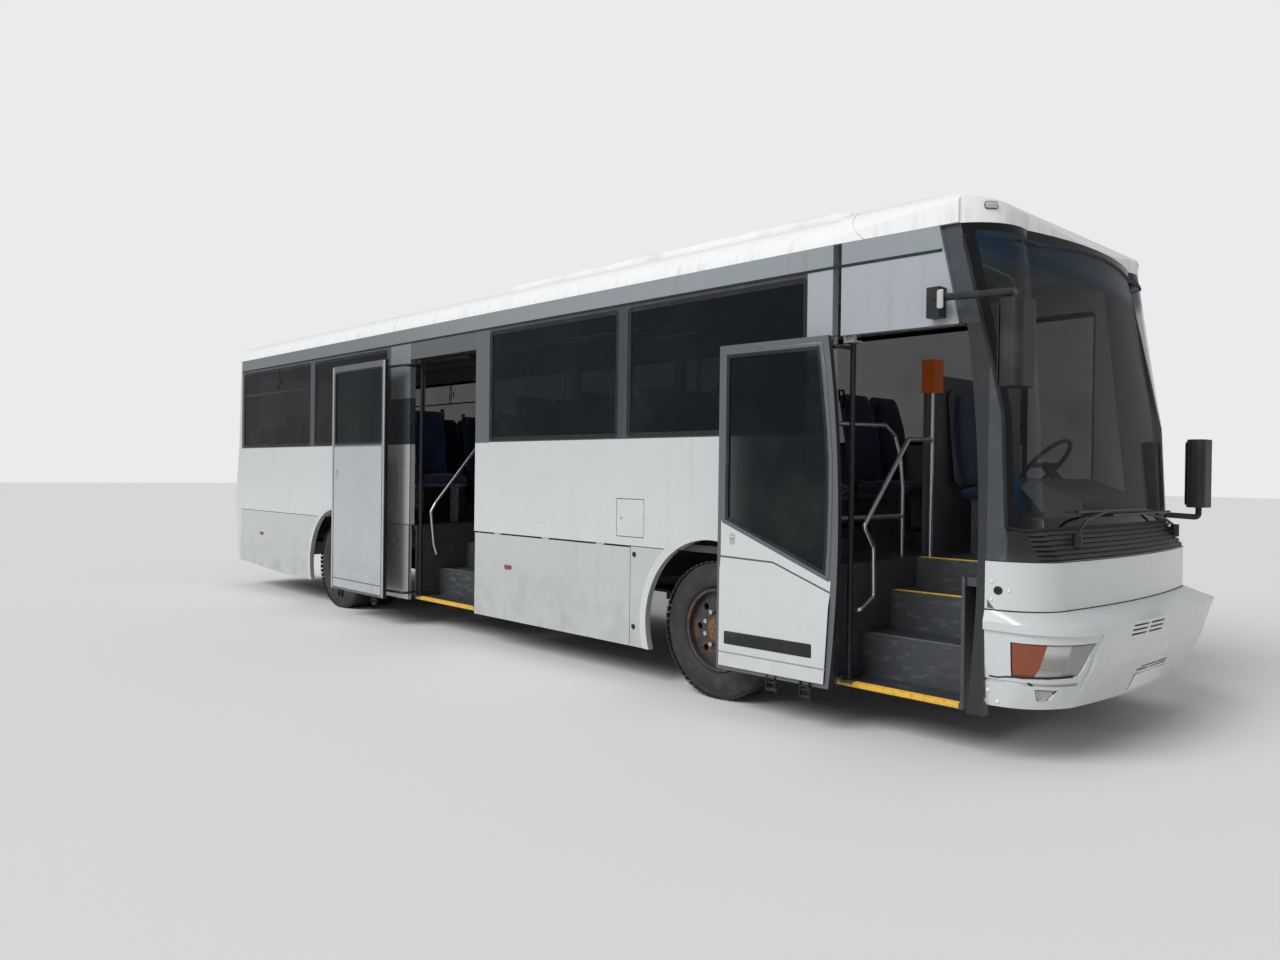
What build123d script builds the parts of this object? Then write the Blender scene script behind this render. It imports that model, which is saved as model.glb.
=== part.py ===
from build123d import *
import os
from math import atan2, cos, degrees, hypot, radians, sin

# A two-door city and intercity bus with a flat floor over luggage bays.
# Millimetres. +X is the bus's left side, -Y is forward and +Z is up. The origin lies on the ground.
# A station s is a distance behind the bumper's foremost line, and y_at(s) is its place along Y.

# Body sizes
LENGTH = 11350
HALF_WIDTH = 1250
NOSE_HALF_WIDTH = 1205
NOSE_TAPER_START = 560
NOSE_TAPER_END = 1560
WALL = 60
SKIN = 40
SKIRT_THICK = 36
PANEL_GAP = 6
SEAT_GAP = 0.3

# Heights above the ground
SKIRT_FOOT = 267
SKIRT_TOP = 1012
WAIST = 1818
GUTTER = 2836
BAND_TOP = 2977
COVE_TOP = 3165
ROOF_CROWN = 3205
FLOOR_TOP = 1010
FLOOR_THICK = 50
CEILING = 3060

# Wheels
WHEEL_R = 480
FRONT_AXLE_S = 2540
REAR_AXLE_S = 8220
TYRE_WIDTH = 270
RIM_R = 302
FRONT_WHEEL_X = 1060
REAR_OUTER_X = 1062
TWIN_PITCH = 312
ARCH_R = 628
KINGPIN_X = 870
SPINDLE_R = 45
RUNNING_FIT = 0.05
TIE_ARM = 210
EYE_HALF = 60
KINGPIN_R = 20

# Doorways and doors
FRONT_DOOR_FRONT = 700
FRONT_DOOR_REAR = 1555
FRONT_DOOR_TOP = 2415
MID_DOOR_FRONT = 5445
MID_DOOR_REAR = 6610
MID_DOOR_TOP = 2665
TREADS = (300, 560, 810)
# Distances in from the outer edge: the sill, each riser and the floor's edge
TREAD_EDGES = (0, 290, 620, 950)
DOOR_GAP = 10
LEAF_THICK = 36
LEAF_FOOT = 285
FRONT_LEAF_SHIFT = (170, 780)
MID_LEAF_SHIFT = (230, 1240)
PIVOT_X = 1155
POST_R = 18
ARM_R = 13
PIN_R = 9
LEAF_RAIL = 70


def y_at(s):
    return s - LENGTH / 2


def half_width(s):
    """Half the body's width at a station: it narrows a little ahead of the front doorway's rear edge."""
    along = min(max(s, NOSE_TAPER_START), NOSE_TAPER_END) - NOSE_TAPER_START
    share = along / (NOSE_TAPER_END - NOSE_TAPER_START)
    return NOSE_HALF_WIDTH + share * (HALF_WIDTH - NOSE_HALF_WIDTH)


def block(x0, x1, s0, s1, z0, z1):
    centre = Pos((x0 + x1) / 2, y_at((s0 + s1) / 2), (z0 + z1) / 2)
    return centre * Box(abs(x1 - x0), abs(s1 - s0), abs(z1 - z0))


def both_sides(shape):
    return [shape, mirror(shape, about=Plane.YZ)]


def trace_face(start, *steps):
    """A closed face: each step is the next corner, or an arc's middle and its end."""
    edges = []
    here = start
    for step in steps:
        if isinstance(step[0], tuple):
            edges.append(ThreePointArc(here, step[0], step[1]))
            here = step[1]
        else:
            edges.append(Line(here, step))
            here = step
    if here != start:
        edges.append(Line(here, start))
    return make_face(edges)


def plan(corners):
    """Corners or arcs given as (x, s), drawn as seen from above."""
    placed = []
    for corner in corners:
        if isinstance(corner[0], tuple):
            placed.append(tuple((x, y_at(s)) for x, s in corner))
        else:
            placed.append((corner[0], y_at(corner[1])))
    return trace_face(*placed)


def plan_prism(corners, z0, z1):
    return extrude(Pos(0, 0, z0) * plan(corners), amount=z1 - z0)


def profile_prism(corners, x0, x1):
    """Corners or arcs given as (s, z), drawn as seen from the side and drawn out along X."""
    placed = []
    for corner in corners:
        if isinstance(corner[0], tuple):
            placed.append(tuple((y_at(s), z) for s, z in corner))
        else:
            placed.append((y_at(corner[0]), corner[1]))
    return extrude(Plane.YZ.offset(x0) * trace_face(*placed), amount=x1 - x0)


def section_prism(corners, s0, s1):
    """Corners or arcs given as (x, z), drawn as seen from the front and drawn out along the bus."""
    across = Plane(origin=(0, y_at(s1), 0), x_dir=(1, 0, 0), z_dir=(0, -1, 0))
    return extrude(across * trace_face(*corners), amount=s1 - s0)


def rod(points, radius, bend=0):
    """A round bar through points given as (x, s, z), with its corners bent."""
    spots = [(x, y_at(s), z) for x, s, z in points]
    path = Wire([Line(a, b) for a, b in zip(spots, spots[1:])])
    if bend and len(spots) > 2:
        path = FilletPolyline(*spots, radius=bend)
    start = Plane(origin=spots[0], z_dir=Vector(*spots[1]) - Vector(*spots[0]))
    return sweep(start * Circle(radius), path=path)


def cross_tube(x0, x1, s, z, radius):
    return Pos((x0 + x1) / 2, y_at(s), z) * Rot(0, 90, 0) * Cylinder(radius, abs(x1 - x0))


def upright(x, s, z0, z1, radius):
    return Pos(x, y_at(s), (z0 + z1) / 2) * Cylinder(radius, z1 - z0)


def turned(profile):
    """A solid turned about the X axis: profile is (distance outward along X, radius)."""
    return revolve(trace_face(*profile), axis=Axis.X, revolution_arc=360)


def save(name, *shapes):
    solids = []
    for shape in shapes:
        parts = shape if isinstance(shape, (list, tuple)) else [shape]
        for part in parts:
            solids.extend(part.solids())
    export_step(Compound(solids), f"parts/{name}.step")


# Side walls
WALL_END = LENGTH - 355
# Window columns: front station, rear station, bottom, top
RIGHT_WINDOWS = (
    (1750, 3412, WAIST + 12, GUTTER - 30),
    (3513, 5225, WAIST + 12, GUTTER - 30),
    (7075, 8795, WAIST + 12, GUTTER - 30),
    (8895, WALL_END - 65, WAIST + 12, GUTTER - 30),
)
LEFT_WINDOWS = (
    (930, 1500, 1420, GUTTER - 30),
    (1750, 3412, WAIST + 12, GUTTER - 30),
    (3513, 5225, WAIST + 12, GUTTER - 30),
    (5325, 6975, WAIST + 12, GUTTER - 30),
    (7075, 8795, WAIST + 12, GUTTER - 30),
    (8895, WALL_END - 65, WAIST + 12, GUTTER - 30),
)
GLASS_THICK = 6
GLASS_INSET = 8
WINDOW_CORNER = 40
FUEL_FLAP = (3210, 3515, 1080, 1370)


def side_strip(s0, s1, z0, z1, thick, outer_inset=0):
    """A slab of the left wall that follows the body's width in plan."""
    stations = [s0] + [s for s in (NOSE_TAPER_END,) if s0 < s < s1] + [s1]
    outer = [(half_width(s) - outer_inset, s) for s in stations]
    inner = [(x - thick, s) for x, s in reversed(outer)]
    return plan_prism(outer + inner, z0, z1)


def cut_windows(wall, windows):
    for s0, s1, z0, z1 in windows:
        hole = block(HALF_WIDTH - 2 * WALL, HALF_WIDTH + WALL, s0, s1, z0, z1)
        wall -= fillet(hole.edges().filter_by(Axis.X), WINDOW_CORNER)
    return wall


def cut_arches(piece):
    for axle in (FRONT_AXLE_S, REAR_AXLE_S):
        piece -= cross_tube(HALF_WIDTH - 200, HALF_WIDTH + 200, axle, WHEEL_R, ARCH_R)
    return piece


def left_wall():
    foot = (FRONT_BACK + 80 + 2 * SEAT_GAP, LOUVRE_FOOT[0])
    head = (PILLAR_REAR[1][0] + SEAT_GAP, BAND_TOP)
    wall = side_strip(FRONT_BACK + SEAT_GAP, WALL_END, SKIRT_TOP + PANEL_GAP, BAND_TOP, WALL)
    nose = side_strip(500, 1500, LOUVRE_FOOT[0] - SEAT_GAP, BAND_TOP + 1, WALL + 40, -20)
    wall -= nose - behind(foot, head)
    return cut_arches(cut_windows(wall, LEFT_WINDOWS))


def right_wall():
    wall = side_strip(NOSE_TAPER_END, WALL_END, SKIRT_TOP + PANEL_GAP, BAND_TOP, WALL)
    front_edge = [(s + SEAT_GAP, z) for s, z in PILLAR_REAR]
    header = side_strip(700, NOSE_TAPER_END, FRONT_DOOR_TOP, BAND_TOP, WALL) & behind(*front_edge)
    wall = cut_arches(cut_windows(wall + header, RIGHT_WINDOWS))
    wall -= block(0, HALF_WIDTH + WALL, MID_DOOR_FRONT, MID_DOOR_REAR, 0, MID_DOOR_TOP)
    s0, s1, z0, z1 = FUEL_FLAP
    wall -= block(HALF_WIDTH - WALL + 20, HALF_WIDTH + WALL, s0, s1, z0, z1)
    wall = mirror(wall, about=Plane.YZ)
    for point in FLAP_HINGES:
        x, s, z = point
        reach = BARREL_HALF + 2
        for low in (s - reach - LUG_LONG, s + reach):
            wall += block(x - 2, x + HINGE_R, low, low + LUG_LONG, z, SKIRT_TOP + PANEL_GAP + 1)
        wall += hinge_lugs("Y", point)
    for point in FUEL_HINGES:
        wall -= hinge_barrel("Z", point, HINGE_R + 1.5)
        wall += hinge_lugs("Z", point)
    wall += head_bearing(FRONT_POST_S, FRONT_ARM_Z[1], FRONT_DOOR_TOP)
    return wall + head_bearing(MID_POST_S, MID_ARM_Z[1], MID_DOOR_TOP)


def panes(windows, side):
    """Fixed panes set in the wall's window cuts, with a seat gap all round."""
    out = []
    for s0, s1, z0, z1 in windows:
        hole = block(0, HALF_WIDTH, s0 + SEAT_GAP, s1 - SEAT_GAP, z0 + SEAT_GAP, z1 - SEAT_GAP)
        hole = fillet(hole.edges().filter_by(Axis.X), WINDOW_CORNER)
        pane = side_strip(s0 - 1, s1 + 1, z0 - 1, z1 + 1, GLASS_THICK, GLASS_INSET) & hole
        out.append(pane if side > 0 else mirror(pane, about=Plane.YZ))
    return out


# Front: the plan outline at each height.
# Columns: height, nose station, shoulder x, shoulder station, side x, side station
BUMPER_FOOT = (330, 160, 880, 225, 1192, 560)
BUMPER_MID = (560, 60, 890, 118, 1215, 480)
BUMPER_LEDGE = (790, 0, 900, 55, 1225, 430)
PANEL_FOOT = (850, 190, 905, 252, NOSE_HALF_WIDTH, NOSE_TAPER_START)
PANEL_TOP = (1118, 192, 905, 254, NOSE_HALF_WIDTH, NOSE_TAPER_START)
LOUVRE_FOOT = (1118 + SEAT_GAP, 200, 905, 262, NOSE_HALF_WIDTH, NOSE_TAPER_START)
LOUVRE_HEAD = (1280 - SEAT_GAP, 350, 900, 392, 1202, 462)
SCREEN_FOOT = (1280, 350, 900, 392, 1202, 462)
SCREEN_MID = (1920, 388, 880, 430, 1200, 490)
SCREEN_HEAD = (BAND_TOP, 475, 780, 568, 1190, 757)
FRONT_BACK = 575
PILLAR_THICK = 60
PILLAR_TOE_S = 468
# The pillars' rear edge beside the doorway's head and at the roof, as (station, height)
PILLAR_REAR = ((745, FRONT_DOOR_TOP), (870, BAND_TOP))
SCREEN_GLASS = 10
DOME_END = 1560


def front_outline(level, inset=0, back=FRONT_BACK):
    z, nose, shoulder_x, shoulder_s, side_x, side_s = level
    nose += inset
    shoulder = (shoulder_x - inset / 3, shoulder_s + inset)
    side = (side_x - inset, side_s + inset / 3)
    out = sin(radians(45))
    mid = (shoulder[0] + (side[0] - shoulder[0]) * out, side[1] - (side[1] - shoulder[1]) * out)

    def other(point):
        return (-point[0], point[1])

    rear = (side[0], back)
    corners = [rear, side, (mid, shoulder), ((0, nose), other(shoulder))]
    corners += [(other(mid), other(side)), other(rear)]
    return Pos(0, 0, z) * plan(corners)


def front_band(levels, thick, back=FRONT_BACK):
    """A hollow band round the front between heights, open towards the rear."""
    outer = loft([front_outline(level, 0, back) for level in levels], ruled=True)
    lower, *middle, upper = levels
    raised = [(lower[0] - 1,) + lower[1:], *middle, (upper[0] + 1,) + upper[1:]]
    inner = loft([front_outline(level, thick, back + thick) for level in raised], ruled=True)
    return outer - inner


def front_panel():
    return front_band([PANEL_FOOT, PANEL_TOP], SKIN)


BUMPER_CREASE_X = 890
CORNER_DEPTH = 18
CORNER_TOP = 745
# The lamp opening in front view, on the left: (x, height)
LAMP_OPENING = [(1260, 500), (960, 520), (905, 700), (1260, 690)]
LAMP_REAR = 430
GROOVE = (462, 480, 12)
FOG_OPENING = [(1165, 372), (1050, 384), (1035, 440), (1165, 446)]
FOG_REAR = 330
# Vent slots: x of their two ends, then heights
SLOT_ENDS = ((-570, -380), (-350, -160))
SLOT_HEIGHTS = (712, 738, 764)
SLOT_HIGH = 11
PLATE_RECESS = (-560, -110, 385, 482)


def bumper_skin(depth):
    """The bumper's outermost layer, as deep as given."""
    levels = [BUMPER_FOOT, BUMPER_MID, BUMPER_LEDGE]
    proud = loft([front_outline(level, -2) for level in levels], ruled=True)
    return proud - loft([front_outline(level, depth) for level in levels], ruled=True)


def bumper_corner():
    """Where the left corner is set back from the raised middle, behind a slanted face."""
    sections = []
    rear, side = 620, 1300
    for z, _, _, front, *_ in (BUMPER_FOOT, BUMPER_LEDGE):
        crease = BUMPER_CREASE_X
        corners = [(crease, front - 90), (crease, front), (crease + 90, front + 36), (crease + 100, rear)]
        corners += [(side, rear), (side, front - 90)]
        sections.append(Pos(0, 0, z) * plan(corners))
    region = loft(sections, ruled=True) & block(0, side, -50, rear, BUMPER_FOOT[0], CORNER_TOP)
    return bumper_skin(CORNER_DEPTH) & region


def bumper():
    crest = (PANEL_FOOT[0] - SEAT_GAP,) + PANEL_FOOT[1:]
    body = front_band([BUMPER_FOOT, BUMPER_MID, BUMPER_LEDGE, crest], SKIN)
    low, high, depth = GROOVE
    groove = bumper_skin(CORNER_DEPTH + depth) & block(BUMPER_CREASE_X + 40, 1300, 0, FRONT_BACK, low, high)
    cuts = bumper_corner() + groove
    cuts += section_prism(LAMP_OPENING, -10, LAMP_REAR) + section_prism(FOG_OPENING, -10, FOG_REAR)
    for cut in both_sides(cuts):
        body -= cut
    for x0, x1 in SLOT_ENDS:
        for z in SLOT_HEIGHTS:
            body -= block(x0, x1, -20, 200, z - SLOT_HIGH / 2, z + SLOT_HIGH / 2)
    x0, x1, z0, z1 = PLATE_RECESS
    return body - (bumper_skin(6) & block(x0, x1, -20, 300, z0, z1))


def behind(*points):
    """Everything behind a line in side view, given by (station, height) points from its foot up."""
    (s0, z0), (s1, z1) = points[:2]
    (s2, z2), (s3, z3) = points[-2:]
    low = (s0 - 100 * (s1 - s0) / (z1 - z0), z0 - 100)
    high = (s3 + 100 * (s3 - s2) / (z3 - z2), z3 + 100)
    corners = [low, *points, high, (1500, high[1]), (1500, low[1])]
    return profile_prism(corners, -HALF_WIDTH - 10, HALF_WIDTH + 10)


def screen_side(back=0):
    """The screen's side edge in side view, moved back."""
    return [(level[5] + back, level[0]) for level in (SCREEN_FOOT, SCREEN_MID, SCREEN_HEAD)]


def louvre_side(back=0):
    """The louvre's side edge, which runs on below the screen's, moved back."""
    return [(PILLAR_TOE_S + back, LOUVRE_FOOT[0]), (SCREEN_FOOT[5] + back, SCREEN_FOOT[0])]


RIB_RISE = 7
RIB_HALF = 7
RIB_HEIGHTS = (1135, 1160, 1185, 1210, 1235, 1260)
RIB_REACH = 1090


def louvre_level(z):
    """The louvre's plan outline at a height between its foot and head."""
    share = (z - LOUVRE_FOOT[0]) / (LOUVRE_HEAD[0] - LOUVRE_FOOT[0])
    return tuple(low + share * (high - low) for low, high in zip(LOUVRE_FOOT, LOUVRE_HEAD))


def louvre_rib(z, grow=0):
    levels = [louvre_level(z - RIB_HALF - grow), louvre_level(z + RIB_HALF + grow)]
    rib = loft([front_outline(level, -RIB_RISE - grow) for level in levels], ruled=True)
    rib -= loft([front_outline(level, 10, 700) for level in levels], ruled=True)
    return rib & block(-RIB_REACH, RIB_REACH, 100, 480, z - 20, z + 20)


def louvre():
    grille = front_band([LOUVRE_FOOT, LOUVRE_HEAD], SKIN)
    for z in RIB_HEIGHTS:
        grille += louvre_rib(z)
    return grille - behind(*louvre_side())


def windscreen():
    return front_band([SCREEN_FOOT, SCREEN_MID, SCREEN_HEAD], SCREEN_GLASS, 820) - behind(*screen_side())


def screen_frame():
    """The front pillars, which also make the front doorway's front jamb, and the bar over the screen."""
    edge = FRONT_DOOR_FRONT
    jamb_s = FRONT_BACK + SEAT_GAP
    toe = louvre_side(SEAT_GAP)[0]
    rim = screen_side(SEAT_GAP)
    lower = [(jamb_s, SKIRT_FOOT), (edge - 28, SKIRT_FOOT)]
    lower += [((edge - 78, 1450), (edge + 6, FRONT_DOOR_TOP))]
    door_side = lower + [*PILLAR_REAR, *reversed(rim), toe, (jamb_s, toe[1])]
    driver_side = [toe, (jamb_s + 80, toe[1]), PILLAR_REAR[1], *reversed(rim)]
    levels = (LOUVRE_FOOT, SCREEN_FOOT, SCREEN_MID, SCREEN_HEAD)
    face = loft([front_outline(level, 0, 900) for level in levels], ruled=True)
    face += block(-NOSE_HALF_WIDTH, NOSE_HALF_WIDTH, 300, 900, SKIRT_FOOT - 10, LOUVRE_FOOT[0])
    reach = NOSE_HALF_WIDTH - PILLAR_THICK
    right = profile_prism(door_side, -HALF_WIDTH, -reach) & face
    left = profile_prism(driver_side, reach, HALF_WIDTH) & face
    reach -= SEAT_GAP
    bar = block(-reach, reach, SCREEN_HEAD[5] + 20, SCREEN_HEAD[5] + 60, SCREEN_HEAD[0] - 76, BAND_TOP)
    return right, left, bar


# Roof
ROOF_FOOT = BAND_TOP + SEAT_GAP
ROOF_START = DOME_END + SEAT_GAP
ROOF_END = LENGTH - 252


def roof_section(inset):
    half = HALF_WIDTH - inset
    knee = (HALF_WIDTH - 155 - inset / 2, COVE_TOP + 5 - inset)
    return [
        (-half, ROOF_FOOT),
        (half, ROOF_FOOT),
        ((half - 42, BAND_TOP + 120 - inset / 2), knee),
        ((0, ROOF_CROWN - inset), (-knee[0], knee[1])),
        ((-half + 42, BAND_TOP + 120 - inset / 2), (-half, ROOF_FOOT)),
    ]


def roof_profile(inset):
    """Side view of the roof's rounded rear end."""
    top = ROOF_CROWN + 60 - inset
    end = ROOF_END - inset
    return [
        (ROOF_START - inset * 2, ROOF_FOOT - (5 if inset else 0)),
        (end, ROOF_FOOT - (5 if inset else 0)),
        (end - 13, COVE_TOP - 60 - inset),
        ((end - 48, COVE_TOP + 8 - inset), (end - 168, ROOF_CROWN + 2 - inset)),
        (end - 168, top),
        (ROOF_START - inset * 2, top),
    ]


def roof():
    wide = HALF_WIDTH + 50
    outer = section_prism(roof_section(0), ROOF_START, LENGTH)
    outer &= profile_prism(roof_profile(0), -wide, wide)
    inner = section_prism(roof_section(SKIN), DOME_END - 100, LENGTH)
    inner &= profile_prism(roof_profile(SKIN), -wide, wide)
    return outer - inner


DOME_KNEE = ROOF_CROWN - 19
JOINT_DEPTH = 8
# The dome's rear joint in side view, as the outline of a narrow groove that curves forward at its foot
DOME_JOINT = [
    (1330, BAND_TOP - 10),
    ((1405, BAND_TOP + 60), (1450, ROOF_CROWN + 60)),
    (1458, ROOF_CROWN + 60),
    ((1413, BAND_TOP + 58), (1340, BAND_TOP - 10)),
]


def dome_profile(inset):
    return [
        (SCREEN_HEAD[1] + inset, ROOF_FOOT - (5 if inset else 0)),
        (DOME_END + inset * 2, ROOF_FOOT - (5 if inset else 0)),
        (DOME_END + inset * 2, ROOF_CROWN + 12 - inset),
        ((980 + inset / 2, ROOF_CROWN - 25 - inset), (600 + inset, ROOF_CROWN - 105 - inset)),
    ]


def dome_section(inset):
    half = HALF_WIDTH - inset
    return [
        (-half, BAND_TOP - 50),
        (half, BAND_TOP - 50),
        (half, BAND_TOP + 20),
        ((half - 42, BAND_TOP + 130), (1085, DOME_KNEE - inset)),
        ((0, ROOF_CROWN + 14 - inset), (-1085, DOME_KNEE - inset)),
        ((-half + 42, BAND_TOP + 130), (-half, BAND_TOP + 20)),
    ]


def front_dome():
    def solid(inset):
        head = (BAND_TOP - 10,) + SCREEN_HEAD[1:]
        crown = (ROOF_CROWN + 40,) + SCREEN_HEAD[1:]
        side = loft([front_outline(level, inset, DOME_END + inset * 2) for level in (head, crown)], ruled=True)
        widened = [(half_width(s) - inset, s) for s in (SCREEN_HEAD[5] + 2, NOSE_TAPER_END, DOME_END + 200)]
        flare = plan_prism(widened + [(-x, s) for x, s in reversed(widened)], BAND_TOP - 10, ROOF_CROWN + 40)
        body = (side + flare) & profile_prism(dome_profile(inset), -1300, 1300)
        return body & section_prism(dome_section(inset), 300, DOME_END + inset * 2)

    groove = profile_prism(DOME_JOINT, -HALF_WIDTH, HALF_WIDTH) & (solid(0) - solid(JOINT_DEPTH))
    return solid(0) - solid(SKIN) - groove


# Hinges: barrels on the moving cover turn on pins held by lugs on the fixed panel
HINGE_R = 5
HINGE_PIN_R = 2.5
BARREL_HALF = 30
LUG_LONG = 14


def hinge_bar(axis, point, low, high, radius):
    """A round bar on a hinge's axis between two distances along it from the point."""
    x, s, z = point
    centre = (low + high) / 2
    bar = Cylinder(radius, high - low)
    if axis == "X":
        return Pos(x + centre, y_at(s), z) * Rot(0, 90, 0) * bar
    if axis == "Y":
        return Pos(x, y_at(s + centre), z) * Rot(90, 0, 0) * bar
    return Pos(x, y_at(s), z + centre) * bar


def hinge_barrel(axis, point, radius=HINGE_R):
    return hinge_bar(axis, point, -BARREL_HALF, BARREL_HALF, radius)


def hinge_bore(axis, point):
    return hinge_bar(axis, point, -BARREL_HALF - 1, BARREL_HALF + 1, HINGE_PIN_R + RUNNING_FIT)


def hinge_lugs(axis, point, radius=HINGE_R):
    """The two lugs beside a barrel and the pin between them."""
    reach = BARREL_HALF + 2
    lugs = hinge_bar(axis, point, -reach - LUG_LONG, -reach, radius)
    lugs += hinge_bar(axis, point, reach, reach + LUG_LONG, radius)
    return lugs + hinge_bar(axis, point, -reach - 5, reach + 5, HINGE_PIN_R)


# Rear
# Columns: height, rearmost station, half width, corner radius
REAR_LEVELS = (
    (340, LENGTH - 145, HALF_WIDTH - 6, 160),
    (1080, LENGTH, HALF_WIDTH, 190),
    (1830, LENGTH - 128, HALF_WIDTH, 170),
    (BAND_TOP, LENGTH - 250, HALF_WIDTH, 90),
)
HATCH = (800, 600, 1600)
REAR_WINDOW = (980, 1980, 2800)
HATCH_GAP = 8


def rear_outline(level, inset=0, front=WALL_END + SEAT_GAP):
    z, end, half, radius = level
    half -= inset
    end -= inset
    lean = radius * (1 - sin(radians(45)))
    corners = [
        (half, front),
        (half, end - radius),
        ((half - lean, end - lean), (half - radius, end)),
        (-half + radius, end),
        ((-half + lean, end - lean), (-half, end - radius)),
        (-half, front),
    ]
    return Pos(0, 0, z) * plan(corners)


def rear_shell(levels, thick, deeper=0):
    outer = loft([rear_outline(level, deeper) for level in levels], ruled=True)
    lowest, *between, highest = levels
    raised = [(lowest[0] - 1,) + lowest[1:], *between, (highest[0] + 1,) + highest[1:]]
    return outer - loft([rear_outline(level, deeper + thick, WALL_END - 100) for level in raised], ruled=True)


def rear_face_s(z):
    """The station of the rear face's middle at a height above the rear lamps' foot."""
    (z0, s0, *_), (z1, s1, *_) = REAR_LEVELS[1:3]
    return s0 + (s1 - s0) * (z - z0) / (z1 - z0)


def hatch_hinges():
    top = HATCH[2]
    return [(x, rear_face_s(top), top) for x in (-450, 450)]


def rear_wall():
    half, low, high = HATCH
    wall = rear_shell(REAR_LEVELS, WALL)
    wall -= block(-half, half, WALL_END, LENGTH + 100, low, high)
    for point in hatch_hinges():
        wall -= hinge_bar("X", point, -BARREL_HALF - 2, BARREL_HALF + 2, HINGE_R + 1.5)
        wall += hinge_lugs("X", point)
    half, low, high = REAR_WINDOW
    opening = block(-half, half, WALL_END, LENGTH + 100, low, high)
    return wall - fillet(opening.edges().filter_by(Axis.Y), 60)


def rear_pane():
    half, low, high = REAR_WINDOW
    pane = rear_shell(REAR_LEVELS, GLASS_THICK, 8)
    half, low, high = half - SEAT_GAP, low + SEAT_GAP, high - SEAT_GAP
    hole = block(-half, half, WALL_END, LENGTH + 100, low, high)
    return pane & fillet(hole.edges().filter_by(Axis.Y), 60)


def engine_hatch():
    half, low, high = HATCH
    gap = HATCH_GAP
    cover = rear_shell(REAR_LEVELS, SKIRT_THICK)
    cover &= block(-half + gap, half - gap, WALL_END, LENGTH + 100, low + gap, high - gap)
    for point in hatch_hinges():
        x, s, z = point
        cover += block(x - BARREL_HALF, x + BARREL_HALF, s - HINGE_R, s, z - gap - 2, z)
        cover += hinge_barrel("X", point)
        cover -= hinge_bore("X", point)
    return cover


# Skirts and luggage flap
# Columns: front station, rear station
FLAP_BAY = (3355, MID_DOOR_FRONT - 14)
LEFT_SKIRTS = ((FRONT_BACK + 6, 3340), (3346, 6604), (6610, WALL_END))
RIGHT_SKIRTS = ((NOSE_TAPER_END, 3349), (MID_DOOR_REAR + 6, WALL_END))


REAR_RISE = LENGTH - 1750
REAR_SKIRT_FOOT = 345


def skirt(s0, s1):
    piece = cut_arches(side_strip(s0, s1, SKIRT_FOOT, SKIRT_TOP, SKIRT_THICK))
    rise = [(REAR_RISE, SKIRT_FOOT - 50), (REAR_RISE, SKIRT_FOOT)]
    rise += [(WALL_END + 50, REAR_SKIRT_FOOT), (WALL_END + 50, SKIRT_FOOT - 50)]
    return piece - profile_prism(rise, 0, HALF_WIDTH + 100)


LIP_WIDE = 72
LIP_PROUD = 14


def arch_lip(axle):
    """The lip round a wheel opening: it stands proud at the opening and runs out to the panel."""
    foot, crest = HALF_WIDTH + SEAT_GAP, HALF_WIDTH + LIP_PROUD
    rim = ARCH_R + LIP_WIDE
    section = [(foot, ARCH_R), (crest, ARCH_R), (crest - 2, ARCH_R + 12), (foot + 3, rim), (foot, rim)]
    ring = placed(turned(section), 0, axle)
    return ring - block(0, HALF_WIDTH + 100, axle - 900, axle + 900, -500, SKIRT_FOOT)


def arch_lips():
    return [lip for axle in (FRONT_AXLE_S, REAR_AXLE_S) for lip in both_sides(arch_lip(axle))]


def skirts():
    pieces = [skirt(s0, s1) for s0, s1 in LEFT_SKIRTS]
    pieces += [mirror(skirt(s0, s1), about=Plane.YZ) for s0, s1 in RIGHT_SKIRTS]
    return pieces


FLAP_TOP = 1004
FLAP_HINGE_Z = 1011
FLAP_HINGES = [(-HALF_WIDTH + 3, s, FLAP_HINGE_Z) for s in (3700, 4393, 5080)]


def luggage_flap():
    s0, s1 = FLAP_BAY
    flap = block(-HALF_WIDTH, -HALF_WIDTH + SKIRT_THICK, s0, s1, SKIRT_FOOT, FLAP_TOP)
    for point in FLAP_HINGES:
        x, s, z = point
        flap += block(x - 2, x + HINGE_R, s - BARREL_HALF, s + BARREL_HALF, FLAP_TOP - 1, z)
        flap += hinge_barrel("Y", point)
        flap -= hinge_bore("Y", point)
    return flap


FUEL_FLAP_THICK = 18
FUEL_HINGES = [(-HALF_WIDTH, FUEL_FLAP[0] + 3, z) for z in (1160, 1290)]


def fuel_flap():
    s0, s1, z0, z1 = FUEL_FLAP
    gap = PANEL_GAP
    flap = block(-HALF_WIDTH, -HALF_WIDTH + FUEL_FLAP_THICK, s0 + gap, s1 - gap, z0 + gap, z1 - gap)
    for point in FUEL_HINGES:
        x, s, z = point
        reach = BARREL_HALF + 2
        for low, high in ((-reach - LUG_LONG, -reach), (reach, reach + LUG_LONG)):
            flap -= hinge_bar("Z", point, low - 1, high + 1, HINGE_R + 1.5)
        flap += block(x, x + HINGE_R, s, s0 + gap + 2, z - BARREL_HALF, z + BARREL_HALF)
        flap += hinge_barrel("Z", point)
        flap -= hinge_bore("Z", point)
    return flap


# Floor and steps
FLOOR_FRONT = 640
FLOOR_REAR = WALL_END - 5
KERB_TOP = 1060
WELL_WALL = 20
TREAD_THICK = 30
INNER_X = HALF_WIDTH - WALL
BOX_TOP = 1130
FRONT_BOX = (FRONT_AXLE_S - 690, FRONT_AXLE_S + 690, 560)
REAR_BOX = (REAR_AXLE_S - 600, REAR_AXLE_S + 600, 560)
ENGINE_DECK = (LENGTH - 1200, 1400)


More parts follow.
